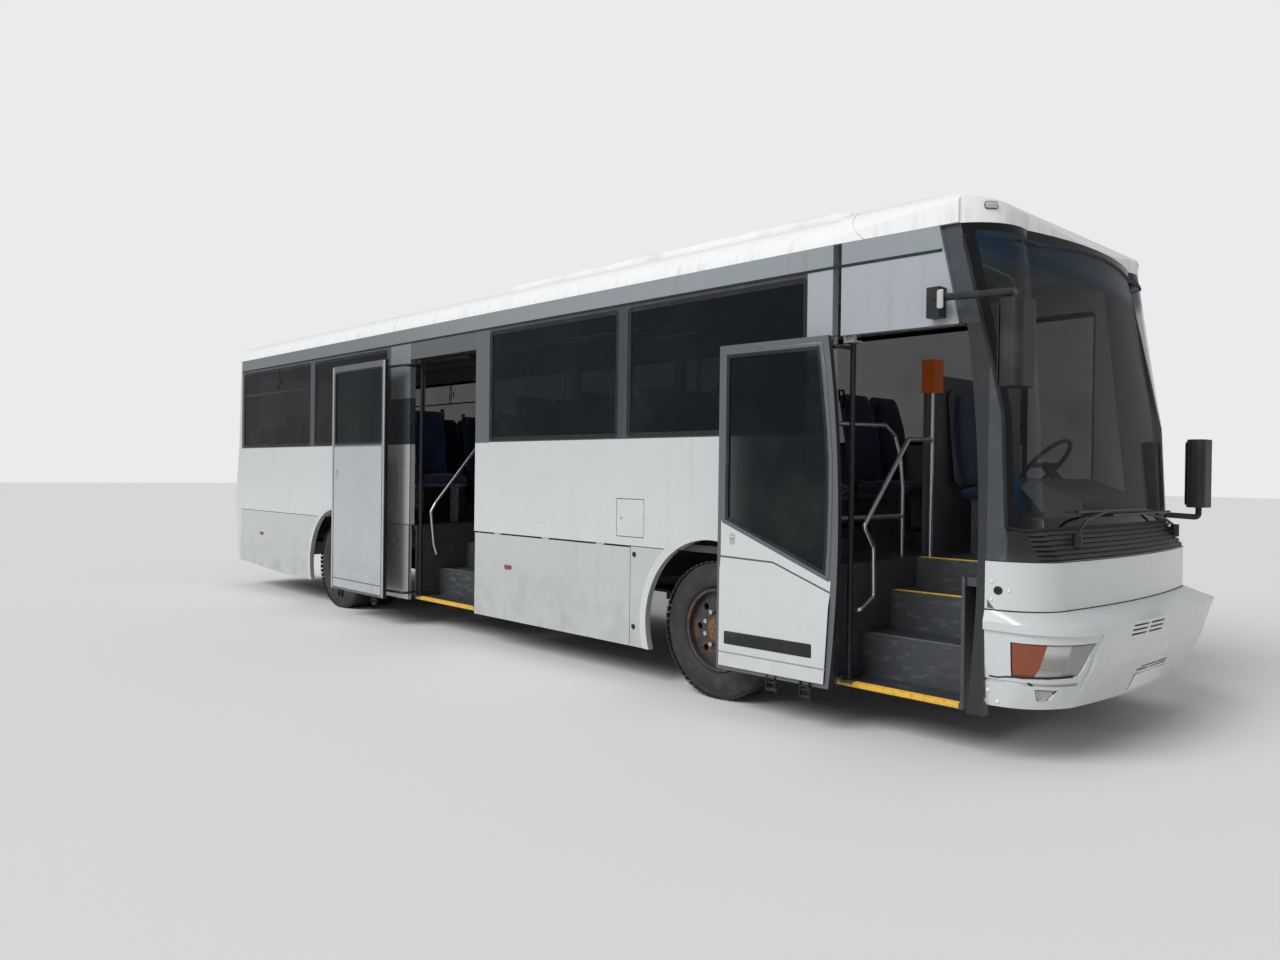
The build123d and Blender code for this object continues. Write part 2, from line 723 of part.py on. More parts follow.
# Step wells: front station, rear station, outer x
WELLS = (
    (FRONT_DOOR_FRONT + 10, FRONT_DOOR_REAR + 20, 1165),
    (MID_DOOR_FRONT + 10, MID_DOOR_REAR - 10, INNER_X - 10),
)


def step_well(s0, s1, outer_x):
    """Steps up from a doorway on the right, as a folded tray that hangs from the floor."""
    inner_x = -outer_x + TREAD_EDGES[-1]
    tray = block(-outer_x, inner_x, s0, s1, TREADS[0] - TREAD_THICK, FLOOR_TOP)
    front, rear = s0 + WELL_WALL, s1 - WELL_WALL
    tops = (*TREADS, FLOOR_TOP)
    for index, top in enumerate(TREADS):
        x0 = -outer_x + TREAD_EDGES[index]
        x1 = -outer_x + TREAD_EDGES[index + 1]
        tray -= block(x0 - 1, x1 - WELL_WALL, front, rear, top, FLOOR_TOP + 1)
        tray -= block(x1 - WELL_WALL - 1, x1, front, rear, tops[index + 1], FLOOR_TOP + 1)
        if index:
            tray -= block(x0, inner_x + 1, s0 - 1, s1 + 1, TREADS[0] - TREAD_THICK - 1, top - TREAD_THICK)
    return tray


def wheel_box(side, low, high, inner_x):
    box = block(inner_x, INNER_X - SEAT_GAP, low, high, FLOOR_TOP - FLOOR_THICK, BOX_TOP)
    low, high = low + WELL_WALL, high - WELL_WALL
    box -= block(inner_x + WELL_WALL, INNER_X + 50, low, high, 0, BOX_TOP - WELL_WALL)
    return box if side > 0 else mirror(box, about=Plane.YZ)


def floor():
    edge = INNER_X - SEAT_GAP
    nose = NOSE_HALF_WIDTH - WALL - SEAT_GAP
    deck = [(nose, FLOOR_FRONT), (edge, NOSE_TAPER_END), (edge, FLOOR_REAR),
            (-edge, FLOOR_REAR), (-edge, NOSE_TAPER_END), (-nose, FLOOR_FRONT)]
    slab = plan_prism(deck, FLOOR_TOP - FLOOR_THICK, FLOOR_TOP)
    slab += block(edge - 22, edge, 1700, FLOOR_REAR, FLOOR_TOP - 1, KERB_TOP)
    for s0, s1 in ((NOSE_TAPER_END + 40, MID_DOOR_FRONT - 20), (MID_DOOR_REAR + 20, FLOOR_REAR)):
        slab += block(-edge, -edge + 22, s0, s1, FLOOR_TOP - 1, KERB_TOP)
    for s0, s1, outer_x in WELLS:
        slab -= block(-HALF_WIDTH, -outer_x + TREAD_EDGES[-1], s0, s1, 0, FLOOR_TOP + 1)
        slab += step_well(s0, s1, outer_x)
    slab += foot_bearing(FRONT_POST_S)
    slab += foot_bearing(MID_POST_S)
    for side in (1, -1):
        for low, high, inner_x in (FRONT_BOX, REAR_BOX):
            hole = block(inner_x, HALF_WIDTH, low, high, 0, FLOOR_TOP + 1)
            slab -= hole if side > 0 else mirror(hole, about=Plane.YZ)
            slab += wheel_box(side, low, high, inner_x)
    s0, top = ENGINE_DECK
    slab -= block(-480, 480, s0, FLOOR_REAR + 1, 0, FLOOR_TOP + 1)
    raised = block(-edge, edge, s0, FLOOR_REAR, FLOOR_TOP - 1, top)
    raised -= block(-edge + 20, edge - 20, s0 + 20, FLOOR_REAR + 1, FLOOR_TOP - 2, top - 20)
    return slab + raised


def ceiling():
    """The saloon's lining under the roof, with its two light strips as raised ribs."""
    half = HALF_WIDTH
    lining = [(-half, 2992), (half, 2992), (half, 3012)]
    lining += [(half - 200, CEILING), (-half + 200, CEILING), (-half, 3012)]
    under = [(-half + 64, 2991), (half - 64, 2991), (half - 70, 3006), (half - 208, CEILING - 14),
             (-half + 208, CEILING - 14), (-half + 70, 3006)]
    shell = section_prism(lining, 1700, WALL_END - 35) - section_prism(under, 1690, WALL_END - 25)
    return shell & section_prism(roof_section(SKIN + SEAT_GAP), 1600, WALL_END)


# Chassis frame
RAIL_X = 330
RAIL_Z = (570, 770)
RAIL_WIDE = 80
RAIL_FRONT = 330
RAIL_REAR = LENGTH - 10
CROSS_STATIONS = (1700, 3300, 4200, 5000, 5350, 6700, 7400, 9050, 9800)
GEARBOX = (LENGTH - 1790, LENGTH - 1180)
ENGINE_REAR = LENGTH - 390
FLAP_CLEARANCE = 12
PAD_STATIONS = (3700, 7300)
PAD_SIZE = 120
PAD_DROP = 60
TOW_PIN_R = 17
TOW_PIN_S = RAIL_FRONT + 20


def chassis_frame():
    foot, head = RAIL_Z
    outer = RAIL_X + RAIL_WIDE
    rail = block(RAIL_X, outer, RAIL_FRONT, RAIL_REAR, foot, head)
    rail -= block(RAIL_X + 8, outer + 1, RAIL_FRONT - 1, RAIL_REAR + 1, foot + 10, head - 10)
    rail &= loft([rear_outline(level, WALL + SEAT_GAP, 0) for level in REAR_LEVELS[:3]], ruled=True)
    frame = rail + mirror(rail, about=Plane.YZ)
    left_end = HALF_WIDTH - SKIRT_THICK - SEAT_GAP
    for s in CROSS_STATIONS:
        behind_flap = FLAP_BAY[0] < s < FLAP_BAY[1]
        right_end = left_end - FLAP_CLEARANCE if behind_flap else left_end
        frame += block(-right_end, left_end, s - 30, s + 30, RAIL_Z[1], FLOOR_TOP - FLOOR_THICK)
        if s < GEARBOX[0]:
            frame += block(-RAIL_X - 8, RAIL_X + 8, s - 40, s + 40, RAIL_Z[0] + 30, RAIL_Z[1])
    for s in PAD_STATIONS:
        half = PAD_SIZE / 2
        for pad in both_sides(block(RAIL_X, RAIL_X + PAD_SIZE, s - half, s + half, foot - PAD_DROP, foot + 10)):
            frame += pad
    nose = block(-outer, outer, RAIL_FRONT - 60, RAIL_FRONT, foot, head)
    levels = [front_outline(level, SKIN + SEAT_GAP) for level in (BUMPER_MID, BUMPER_LEDGE)]
    behind_bumper = loft(levels, ruled=True)
    for bracket in both_sides(block(RAIL_X, outer, -20, RAIL_FRONT, foot + 40, head - 30)):
        frame += bracket & behind_bumper
    tow = block(-60, 60, RAIL_FRONT - 60, RAIL_FRONT + 60, foot - PAD_DROP, foot)
    frame += nose + tow
    return frame - upright(0, TOW_PIN_S, foot - PAD_DROP - 20, foot + 20, TOW_PIN_R)


# Axles, steering and wheels
def tyre():
    r = WHEEL_R
    half = TYRE_WIDTH / 2
    bead = RIM_R - 12
    profile = [
        (-half + 40, bead),
        (-half, bead + 60),
        (-half, r - 70),
        ((-half + 12, r - 22), (-half + 45, r)),
        (half - 45, r),
        ((half - 12, r - 22), (half, r - 70)),
        (half, bead + 60),
        (half - 40, bead),
    ]
    return turned(profile)


# Rim columns run from the inner lip to the outer one, then back along the disc.
def rim(dish, bore):
    """A steel wheel: dish is how far outward of the rim's middle its disc lies."""
    lip = RIM_R - 12.3
    half = 112
    disc = dish
    profile = [
        (-half, lip),
        (-half, lip - 22),
        (disc - 10, lip - 22),
        (disc - 10, 150),
        (disc - 10, bore + 60),
        (disc - 60, bore + 60),
        (disc - 60, bore),
        (disc + 60, bore),
        (disc + 60, bore + 55),
        (disc + 6, bore + 60),
        (disc + 6, 150),
        (disc + 6, lip - 22),
        (half, lip - 22),
        (half, lip),
    ]
    wheel = turned(profile)
    for index in range(8):
        turn = radians(45 * index)
        hole = Pos(disc, 205 * cos(turn), 205 * sin(turn)) * Rot(0, 90, 0) * Cylinder(24, 60)
        wheel -= hole
    return wheel


def placed(shape, x, s):
    return Pos(x, y_at(s), WHEEL_R) * shape


def front_wheel(side):
    dish = 60
    wheel = rim(dish, SPINDLE_R + RUNNING_FIT)
    shapes = [placed(tyre(), FRONT_WHEEL_X, FRONT_AXLE_S), placed(wheel, FRONT_WHEEL_X, FRONT_AXLE_S)]
    return shapes if side > 0 else [mirror(shape, about=Plane.YZ) for shape in shapes]


def rear_wheel(side):
    inner_x = REAR_OUTER_X - TWIN_PITCH
    bore = SPINDLE_R + RUNNING_FIT
    tyres = [placed(tyre(), x, REAR_AXLE_S) for x in (inner_x, REAR_OUTER_X)]
    disc = rim(-90, bore)
    rims = placed(disc, REAR_OUTER_X, REAR_AXLE_S)
    rims += placed(mirror(disc, about=Plane.YZ), inner_x, REAR_AXLE_S)
    if side < 0:
        tyres = [mirror(shape, about=Plane.YZ) for shape in tyres]
        rims = mirror(rims, about=Plane.YZ)
    return tyres, rims


def knuckle(side):
    """The steering knuckle on the left: its upright, the wheel's spindle and the arm for the tie rod."""
    s, z = FRONT_AXLE_S, WHEEL_R
    body = upright(KINGPIN_X, s, z - 120, z + 120, 45)
    eye = EYE_HALF + 1
    body -= block(KINGPIN_X - 60, KINGPIN_X + 60, s - 60, s + 60, z - eye, z + eye)
    for low in (z - 120, z + eye):
        body += block(KINGPIN_X, KINGPIN_X + 90, s - 45, s + 45, low, low + 120 - eye)
    body += block(KINGPIN_X + 60, KINGPIN_X + 90, s - 50, s + 50, z - 120, z + 120)
    body += upright(KINGPIN_X, s, z - 119, z + 119, KINGPIN_R)
    body += cross_tube(KINGPIN_X + 70, FRONT_WHEEL_X + 112, s, z, SPINDLE_R)
    arm_z = z - 105
    body += block(KINGPIN_X - 22, KINGPIN_X + 22, s + 20, s + TIE_ARM + 30, arm_z - 15, arm_z + 15)
    body -= upright(KINGPIN_X, s + TIE_ARM, arm_z - 30, arm_z + 30, PIN_R + RUNNING_FIT)
    return body if side > 0 else mirror(body, about=Plane.YZ)


def tie_rod():
    s = FRONT_AXLE_S + TIE_ARM
    z = WHEEL_R - 105
    bar = cross_tube(-KINGPIN_X, KINGPIN_X, s, z - 45, 16)
    for x in (-KINGPIN_X, KINGPIN_X):
        bar += upright(x, s, z - 66, z - 16, 22)
        bar += upright(x, s, z - 30, z + 25, PIN_R)
    return bar


def front_axle():
    s, z = FRONT_AXLE_S, WHEEL_R
    reach = KINGPIN_X - 110
    beam = block(-reach, reach, s - 45, s + 45, z - 110, z - 20)
    for side in (-1, 1):
        eye = (z - EYE_HALF, z + EYE_HALF)
        beam += block(side * (reach - 40), side * (KINGPIN_X + 20), s - 40, s + 40, *eye)
        beam += upright(side * (RAIL_X + 40), s, z - 30, RAIL_Z[0] - SEAT_GAP, 90)
        beam -= upright(side * KINGPIN_X, s, z - EYE_HALF - 1, z + EYE_HALF + 1, KINGPIN_R + RUNNING_FIT)
    return beam


def rear_axle():
    s, z = REAR_AXLE_S, WHEEL_R
    reach = REAR_OUTER_X - 20
    axle = cross_tube(-reach, reach, s, z, SPINDLE_R)
    axle += cross_tube(-560, 560, s, z, 72)
    axle += Pos(0, y_at(s), z) * Rot(90, 0, 0) * Cylinder(185, 180)
    for side in (-1, 1):
        for ds in (-360, 360):
            x = side * (RAIL_X + 40)
            axle += upright(x, s + ds, z - 41, RAIL_Z[0] - SEAT_GAP, 105)
        axle += block(side * (RAIL_X + 10), side * (RAIL_X + 70), s - 400, s + 400, z - 70, z - 30)
    return axle


# Doors. A leaf hangs on two arms of one post and stays parallel to the wall as the arms turn.
def door_swing(shift):
    """Radius of the arms and their angle from open to closed: the leaf leaves straight outward."""
    out, back = shift
    chord = hypot(out, back)
    half_turn = atan2(back, out)
    return chord / (2 * sin(half_turn)), degrees(2 * half_turn)


FRONT_SWING_R, FRONT_SWING = door_swing(FRONT_LEAF_SHIFT)
MID_SWING_R, MID_SWING = door_swing(MID_LEAF_SHIFT)
FRONT_POST_S = FRONT_DOOR_REAR - 85
MID_POST_S = MID_DOOR_REAR - 65
FRONT_ARM_Z = (345, 2345)
MID_ARM_Z = (345, 2600)
POST_FOOT = TREADS[0] + 1


def door_pivots(post_s, swing_r, shift):
    """Where the post and the leaf's pins stand at rest, with the door open."""
    out, back = shift
    return (-PIVOT_X, post_s), (-PIVOT_X - out, post_s - swing_r + back)


def door_arm(post_s, swing_r, shift, heights, elbow_out):
    post, pin = door_pivots(post_s, swing_r, shift)
    low, high = heights
    arm = upright(post[0], post_s, POST_FOOT, high + 42, POST_R)
    for z in heights:
        route = [(post[0], post_s, z), (-elbow_out, post_s, z), (pin[0], pin[1], z)]
        arm += rod(route, ARM_R, 45)
        arm += upright(pin[0], pin[1], z - 16, z + 16, 22)
        arm -= upright(pin[0], pin[1], z - 20, z + 20, PIN_R + RUNNING_FIT)
    return arm


def foot_bearing(post_s):
    """The bearing on the sill that a door post stands in."""
    pad = block(-PIVOT_X - 30, -PIVOT_X + 40, post_s - 38, post_s + 38, TREADS[0] - 5, TREADS[0] + 14)
    return pad - upright(-PIVOT_X, post_s, TREADS[0], TREADS[0] + 15, POST_R + RUNNING_FIT)


def head_bearing(post_s, top_arm_z, door_top):
    """The bracket above a doorway that a door post's head turns in."""
    z = top_arm_z + 30
    plate = block(-PIVOT_X - 30, -PIVOT_X + 40, post_s - 38, post_s + 38, z, z + 14)
    web = block(-PIVOT_X - 48, -PIVOT_X - 22, post_s - 38, post_s + 38, z, door_top + 40)
    return plate + web - upright(-PIVOT_X, post_s, z - 1, z + 15, POST_R + RUNNING_FIT)


def hang_lugs(leaf, pin, heights, face_x):
    """Two-eared brackets on a leaf's inner face, each with the pin that an arm turns on."""
    for z in heights:
        leaf += upright(pin[0], pin[1], z - 30, z + 30, PIN_R)
        for ear in (z - 30, z + 20):
            leaf += block(face_x, pin[0] + 14, pin[1] - 20, pin[1] + 20, ear, ear + 10)
    return leaf


# Points of the crease under the front leaf's window: station, height
FRONT_CREASE = ((676, 869), (1095, 1020), (1515, 1031))
BAND_PROUD = 3
PANEL_PROUD = 14
BEVEL_HIGH = 80
PANEL_EDGE = 30
PANEL_FOOT_Z = 312
RIDGE_Z = 402


def front_leaf_edge(inset):
    """Side view of the front leaf, closed: its front edge bows forward beside the pillar."""
    front = FRONT_DOOR_FRONT + DOOR_GAP + inset
    rear = FRONT_DOOR_REAR - DOOR_GAP - inset
    top = FRONT_DOOR_TOP - DOOR_GAP - inset
    return front, rear, top


def front_leaf_outline():
    front, rear, top = front_leaf_edge(0)
    foot = (front - 28, LEAF_FOOT)
    return [foot, (rear, LEAF_FOOT), (rear, top), (front + 6, top), ((front - 78, 1450), foot)]


def front_window_outline(grow=0):
    front, rear, top = front_leaf_edge(LEAF_RAIL - grow)
    return [
        (front - 62, 975 - grow),
        (rear, 1272 - grow),
        (rear, top),
        (front + 2, top),
        ((front - 74, 1650), (front - 62, 975 - grow)),
    ]


def on_front_wall(outline, inset, thick):
    """Cuts a side-view outline out of a slab set in from the body's tapered side."""
    slab = mirror(side_strip(600, NOSE_TAPER_END, 200, 2500, thick, inset), about=Plane.YZ)
    return profile_prism(outline, -HALF_WIDTH - 50, -HALF_WIDTH + 200) & slab


def crease_cut(low_s, low_z, high_s, high_z):
    """What a slanted face takes off the raised panel's upper edge, from one point of the edge to another."""
    sections = []
    for s, z in ((low_s, low_z), (high_s, high_z)):
        face_x = -half_width(s)
        drop = BEVEL_HIGH * 1.2
        corners = [(face_x - BAND_PROUD, z), (face_x - PANEL_PROUD * 1.2, z - drop)]
        corners += [(face_x - PANEL_PROUD * 2, z - drop), (face_x - PANEL_PROUD * 2, z + 20), (face_x - BAND_PROUD, z + 20)]
        across = Plane(origin=(0, y_at(s), 0), x_dir=(1, 0, 0), z_dir=(0, -1, 0))
        sections.append(across * trace_face(*corners))
    return loft(sections, ruled=True)


def front_leaf_panel():
    """The pressed panel under the front leaf's window: a band along the glass and a raised lower part."""
    rear = FRONT_DOOR_REAR - DOOR_GAP - PANEL_EDGE
    (front, front_z), (knee, knee_z), (_, rear_z) = FRONT_CREASE
    crease = [(front, front_z), (knee, knee_z), (rear, rear_z)]
    band = [(rear, rear_z), (rear, 1262), (front - 4, 930), *crease[:2]]
    lower = [(front, front_z - 12), (knee, knee_z - 12), (rear, rear_z - 12), (rear, PANEL_FOOT_Z), (front + 32, PANEL_FOOT_Z)]
    panel = on_front_wall(lower, -PANEL_PROUD, PANEL_PROUD + 2)
    for (s0, z0), (s1, z1) in zip(crease, crease[1:]):
        panel -= crease_cut(s0 - 1, z0 - 12, s1 + 1, z1 - 12)
    ridge = [(front, RIDGE_Z - 4), (rear + 5, RIDGE_Z - 4), (rear + 5, RIDGE_Z + 4), (front, RIDGE_Z + 4)]
    panel -= on_front_wall(ridge, -PANEL_PROUD - 5, 5 + PANEL_PROUD / 2)
    return on_front_wall(band, -BAND_PROUD, BAND_PROUD + 2) + panel


def front_door():
    out, back = FRONT_LEAF_SHIFT
    open_place = Pos(-out, back, 0)
    leaf = on_front_wall(front_leaf_outline(), 0, LEAF_THICK) + front_leaf_panel()
    leaf -= on_front_wall(front_window_outline(), -5, LEAF_THICK + 10)
    glass = on_front_wall(front_window_outline(-SEAT_GAP), 6, GLASS_THICK)
    _, pin = door_pivots(FRONT_POST_S, FRONT_SWING_R, FRONT_LEAF_SHIFT)
    face_x = -half_width(pin[1] - back) - out + LEAF_THICK - 4
    return hang_lugs(open_place * leaf, pin, FRONT_ARM_Z, face_x), open_place * glass


def mid_door():
    out, back = MID_LEAF_SHIFT
    s0 = MID_DOOR_FRONT + DOOR_GAP + back
    s1 = MID_DOOR_REAR - DOOR_GAP + back
    x0 = -HALF_WIDTH - out
    top = MID_DOOR_TOP - DOOR_GAP
    leaf = block(x0, x0 + LEAF_THICK, s0, s1, LEAF_FOOT, top)
    leaf += block(x0 - BAND_PROUD, x0 + 1, s0 + 52, s1 - 52, RIDGE_Z + 5, 1800)
    leaf += block(x0 - BAND_PROUD, x0 + 1, s0 + 52, s1 - 52, PANEL_FOOT_Z, RIDGE_Z - 5)
    window = (s0 + LEAF_RAIL, s1 - LEAF_RAIL, 1830, top - LEAF_RAIL)
    leaf -= block(x0 - 5, x0 + LEAF_THICK + 5, *window)
    w0, w1, z0, z1 = window
    pane = (w0 + SEAT_GAP, w1 - SEAT_GAP, z0 + SEAT_GAP, z1 - SEAT_GAP)
    glass = block(x0 + 6, x0 + 6 + GLASS_THICK, *pane)
    _, pin = door_pivots(MID_POST_S, MID_SWING_R, MID_LEAF_SHIFT)
    return hang_lugs(leaf, pin, MID_ARM_Z, x0 + LEAF_THICK - 4), glass


# Roof pod, lamps, mirrors and wipers
POD = (1590, 5330, 900, ROOF_CROWN + 125)
POD_SHOULDER = 60
HOOD = (1620, 2210, 640)


def roof_pod():
    """The low roof unit with rounded shoulders, and the hood that rises at its front."""
    s0, s1, half, top = POD
    foot = COVE_TOP - 30
    shoulder = half - POD_SHOULDER
    section = [(-half, foot), (half, foot), (half, top - 90)]
    section += [((half - 22, top - 38), (shoulder, top - 26)), ((0, top), (-shoulder, top - 26))]
    section += [((-half + 22, top - 38), (-half, top - 90))]
    side = [(s0, foot), (s1 + 150, foot), (s1 + 20, top - 45), (s1 - 250, top + 5)]
    side += [(s0 + 500, top + 5), (s0 + 90, top - 70)]
    pod = section_prism(section, s0, s1 + 150) & profile_prism(side, -half, half)
    h0, h1, hood_half = HOOD
    crest = [(h0, foot), (h1, foot), (h1, top - 28), ((h1 - 280, top + 10), (h0 + 60, top - 62))]
    hood = profile_prism(crest, -hood_half, hood_half)
    under = section_prism(roof_section(-SEAT_GAP), s0 - 50, s1 + 200)
    return pod + hood - under


LAMP_INSET = 26
LAMP_BACK = 90
LAMP_SPLIT = 1140


def front_lamps():
    """Headlamps, corner indicators and fog lamps, which fill their openings in the bumper."""
    levels = (BUMPER_FOOT, BUMPER_MID, BUMPER_LEDGE)
    back = FRONT_BACK + LAMP_BACK
    shell = loft([front_outline(level, LAMP_INSET) for level in levels], ruled=True)
    shell -= loft([front_outline(level, LAMP_BACK, back) for level in levels], ruled=True)
    opening = section_prism(shrunk(LAMP_OPENING), -10, LAMP_REAR - SEAT_GAP)
    head = shell & opening & block(0, LAMP_SPLIT - 1, -20, 500, 400, 800)
    indicator = shell & opening & block(LAMP_SPLIT + 1, 1300, -20, 500, 400, 800)
    fog = shell & section_prism(shrunk(FOG_OPENING), -10, FOG_REAR - SEAT_GAP)
    return [shape for unit in (head, indicator, fog) for shape in both_sides(unit)]


def shrunk(corners):
    """An opening's corners moved in by the seat gap."""
    middle_x = sum(x for x, _ in corners) / len(corners)
    middle_z = sum(z for _, z in corners) / len(corners)

    def nearer(value, middle):
        return value - 2 * SEAT_GAP if value > middle else value + 2 * SEAT_GAP

    return [(nearer(x, middle_x), nearer(z, middle_z)) for x, z in corners]


def rear_lamps():
    lamps = []
    for z0, z1 in ((1180, 1330), (1340, 1490), (1500, 1620)):
        for side in (-1, 1):
            shell = rear_shell(REAR_LEVELS, 14, -14.3)
            lamps.append(shell & block(side * 1020, side * 1150, WALL_END, LENGTH + 100, z0, z1))
    return lamps


MIRROR_REACH = 1525
MIRROR_HEAD = (215, 120)


def mirror_head(front_s, z0, z1):
    """A mirror's rounded housing, on the left."""
    wide, deep = MIRROR_HEAD
    head = block(MIRROR_REACH - wide, MIRROR_REACH, front_s, front_s + deep, z0, z1)
    return fillet(head.edges().filter_by(Axis.Z), 45)


def mirrors():
    """Both outside mirrors: the right one hangs from a high arm, the left one stands on a low one."""
    middle = MIRROR_REACH - MIRROR_HEAD[0] / 2
    base_x = half_width(900) + SEAT_GAP
    right = mirror_head(255, 2025, 2465)
    right += rod([(middle, 320, 2440), (middle, 320, 2510), (base_x + 60, 860, 2560)], 20, 25)
    right += block(base_x, base_x + 75, 820, 900, 2450, 2620)
    base_x = SCREEN_FOOT[4] + SEAT_GAP
    left = mirror_head(240, 1370, 1850)
    left += rod([(middle, 300, 1400), (middle, 300, 1300), (base_x + 30, 560, 1320)], 20, 25)
    left += block(base_x, base_x + 45, 530, 600, 1285, 1375)
    return mirror(right, about=Plane.YZ), left


# Columns: pivot x, pivot station, arm's far x, blade's ends in x, blade height, blade's ends in station
WIPERS = (
    (-700, 292, -150, -600, 450, 1374, 334, 332),
    (980, 316, 520, -100, 990, 1346, 328, 356),
)


def wipers():
    cowl = loft([front_outline(level, -SEAT_GAP) for level in (LOUVRE_FOOT, LOUVRE_HEAD)], ruled=True)
    for z in RIB_HEIGHTS:
        cowl += louvre_rib(z, SEAT_GAP)
    arms = []
    for x, s, far_x, x0, x1, z, s0, s1 in WIPERS:
        hub = upright(x, s, 1180, 1262, 26)
        share = (far_x - x0) / (x1 - x0)
        end = (far_x, s0 + share * (s1 - s0), z)
        arm = rod([(x, s, 1250), (x + (far_x - x) * 0.3, end[1] - 20, z - 50), end], 8, 20)
        blade = rod([(x0, s0, z), (x1, s1, z)], 9)
        arms.append(hub + arm - cowl + blade)
    return arms


# Saloon fittings
def dashboard():
    foot = FLOOR_TOP + SEAT_GAP
    side = [(560, foot), (800, foot), (800, 1330), (960, 1500), (900, 1560), (560, 1420)]
    desk = profile_prism(side, 40, 1080)
    console = block(-1080, 40, 560, 690, foot, 1320)
    console &= block(-400, 40, 500, 800, 0, 2000)
    column = rod([(560, 860, 1480), (560, 1030, 1655)], 30)
    wheel = Pos(560, y_at(1030), 1655) * Rot(-48, 0, 0) * Torus(225, 15)
    spoke = Pos(560, y_at(1030), 1655) * Rot(-48, 0, 0) * Box(430, 40, 12)
    machine = block(-60, 230, 965, 1150, 1330, 1560) + block(40, 110, 980, 1080, foot, 1340)
    return [desk + console + column + wheel + spoke, machine]


def partition():
    """The screen behind the driver's place."""
    return block(60, 1150, 1660, 1690, FLOOR_TOP + SEAT_GAP, 2300)


# Seat columns: side, back's station, cushion base height
SEAT_BACKS_RIGHT = (2480, 3270, 4060, 4850, 7400, 8180, 8960, 9740)
SEAT_BACKS_LEFT = (2480, 3270, 4060, 4850, 5640, 6430, 7220, 8000, 8780, 9560)
SEAT_X = (320, 1160)
SEAT_RISE = 440
BACK_TOP = 1240
# Driver's seat: half width, middle in x, front, back's foot, and the cushion's foot and top
DRIVER_SEAT = (260, 560, 1200, 1575, 1400, 1490)
# Rear bench: half width, front, back's foot, and the cushion's height
BENCH = (1150, LENGTH - 1180, LENGTH - 640, 120)
RAIL_X_INSIDE = 260
RAIL_POSTS = (3600, 5400, 6700, 8900)


def seat_pair(side, back_s):
    x0, x1 = SEAT_X
    top = FLOOR_TOP + SEAT_RISE
    frame = block(x0 + 120, x0 + 220, back_s - 420, back_s - 120, FLOOR_TOP + SEAT_GAP, top - 60)
    frame += block(x0 + 20, x1 - 20, back_s - 440, back_s - 60, top - 60, top - 30)
    cushion = block(x0, x1, back_s - 460, back_s - 40, top - 30 + SEAT_GAP, top + 70)
    seat_top = top + 70 + SEAT_GAP
    head = FLOOR_TOP + BACK_TOP
    corners = [(back_s - 70, seat_top), (back_s + 20, seat_top), (back_s + 130, head), (back_s + 60, head)]
    back = profile_prism(corners, x0, x1)
    shapes = [frame, cushion, back]
    return shapes if side > 0 else [mirror(shape, about=Plane.YZ) for shape in shapes]


def seat_back(x0, x1, s, foot, top):
    """A back that leans to the rear, with its foot's rear edge at station s."""
    lean = (top - foot) * 0.1
    corners = [(s - 70, foot), (s, foot), (s + lean, top), (s + lean - 50, top)]
    return profile_prism(corners, x0, x1)


def driver_seat():
    half, middle, front, rear, foot, top = DRIVER_SEAT
    pedestal = block(middle - 130, middle + 130, front + 70, rear - 70, FLOOR_TOP + SEAT_GAP, foot)
    cushion = block(middle - half, middle + half, front, rear, foot + SEAT_GAP, top)
    back = seat_back(middle - half, middle + half, rear, top + SEAT_GAP, FLOOR_TOP + BACK_TOP)
    return pedestal, [cushion, back]


def rear_bench():
    half, front, rear, high = BENCH
    foot = ENGINE_DECK[1] + SEAT_GAP
    cushion = block(-half, half, front, rear, foot, foot + high)
    return [cushion, seat_back(-half, half, rear, foot + high + SEAT_GAP, foot + high + 620)]


def saloon_seats():
    pedestal, soft = driver_seat()
    frames = [pedestal]
    soft += rear_bench()
    for side, stations in ((-1, SEAT_BACKS_RIGHT), (1, SEAT_BACKS_LEFT)):
        for back_s in stations:
            frame, cushion, back = seat_pair(side, back_s)
            frames.append(frame)
            soft += [cushion, back]
    return frames, soft


def handrail(side):
    """The rail over the aisle's edge with its posts."""
    x = side * RAIL_X_INSIDE
    rail = rod([(x, 1900, 2860), (x, 9700, 2860)], 16)
    for s in RAIL_POSTS:
        rail += upright(x, s, FLOOR_TOP + SEAT_GAP, CEILING - 14 - SEAT_GAP, 16)
    return rail


GRAB_R = 16
# Points of the rail up the front steps, of the screen rail behind them, and of the rail up the middle steps
FRONT_GRAB = (
    (-1027, 1555 - SEAT_GAP, 725), (-1027, 1480, 725), (-880, 1480, 800), (-890, 1480, 1111),
    (-997, 1480, 1247), (-490, 1480, 1807), (-190, 1480, 1818), (-190, 1480, FLOOR_TOP + SEAT_GAP),
)
SCREEN_GRAB = (
    (-INNER_X + 1, 1640, 1890), (-520, 1640, 1905), (-400, 1640, 1840), (-330, 1640, 1702),
    (-290, 1640, 1491), (-290, 1640, FLOOR_TOP + SEAT_GAP),
)
MID_GRAB = (
    (-980, 6580 - SEAT_GAP, 707), (-980, 6525, 707), (-1016, 6525, 815), (-1054, 6525, 1142),
    (-1000, 6525, 1232), (-520, 6525, 1800), (-300, 6525, 1810), (-300, 6525, TREADS[2] + SEAT_GAP),
)
# The box on the front rail's post: middle in x, middle station, foot, head
PASS_BOX = (-190, 1480, 2135, 2360)


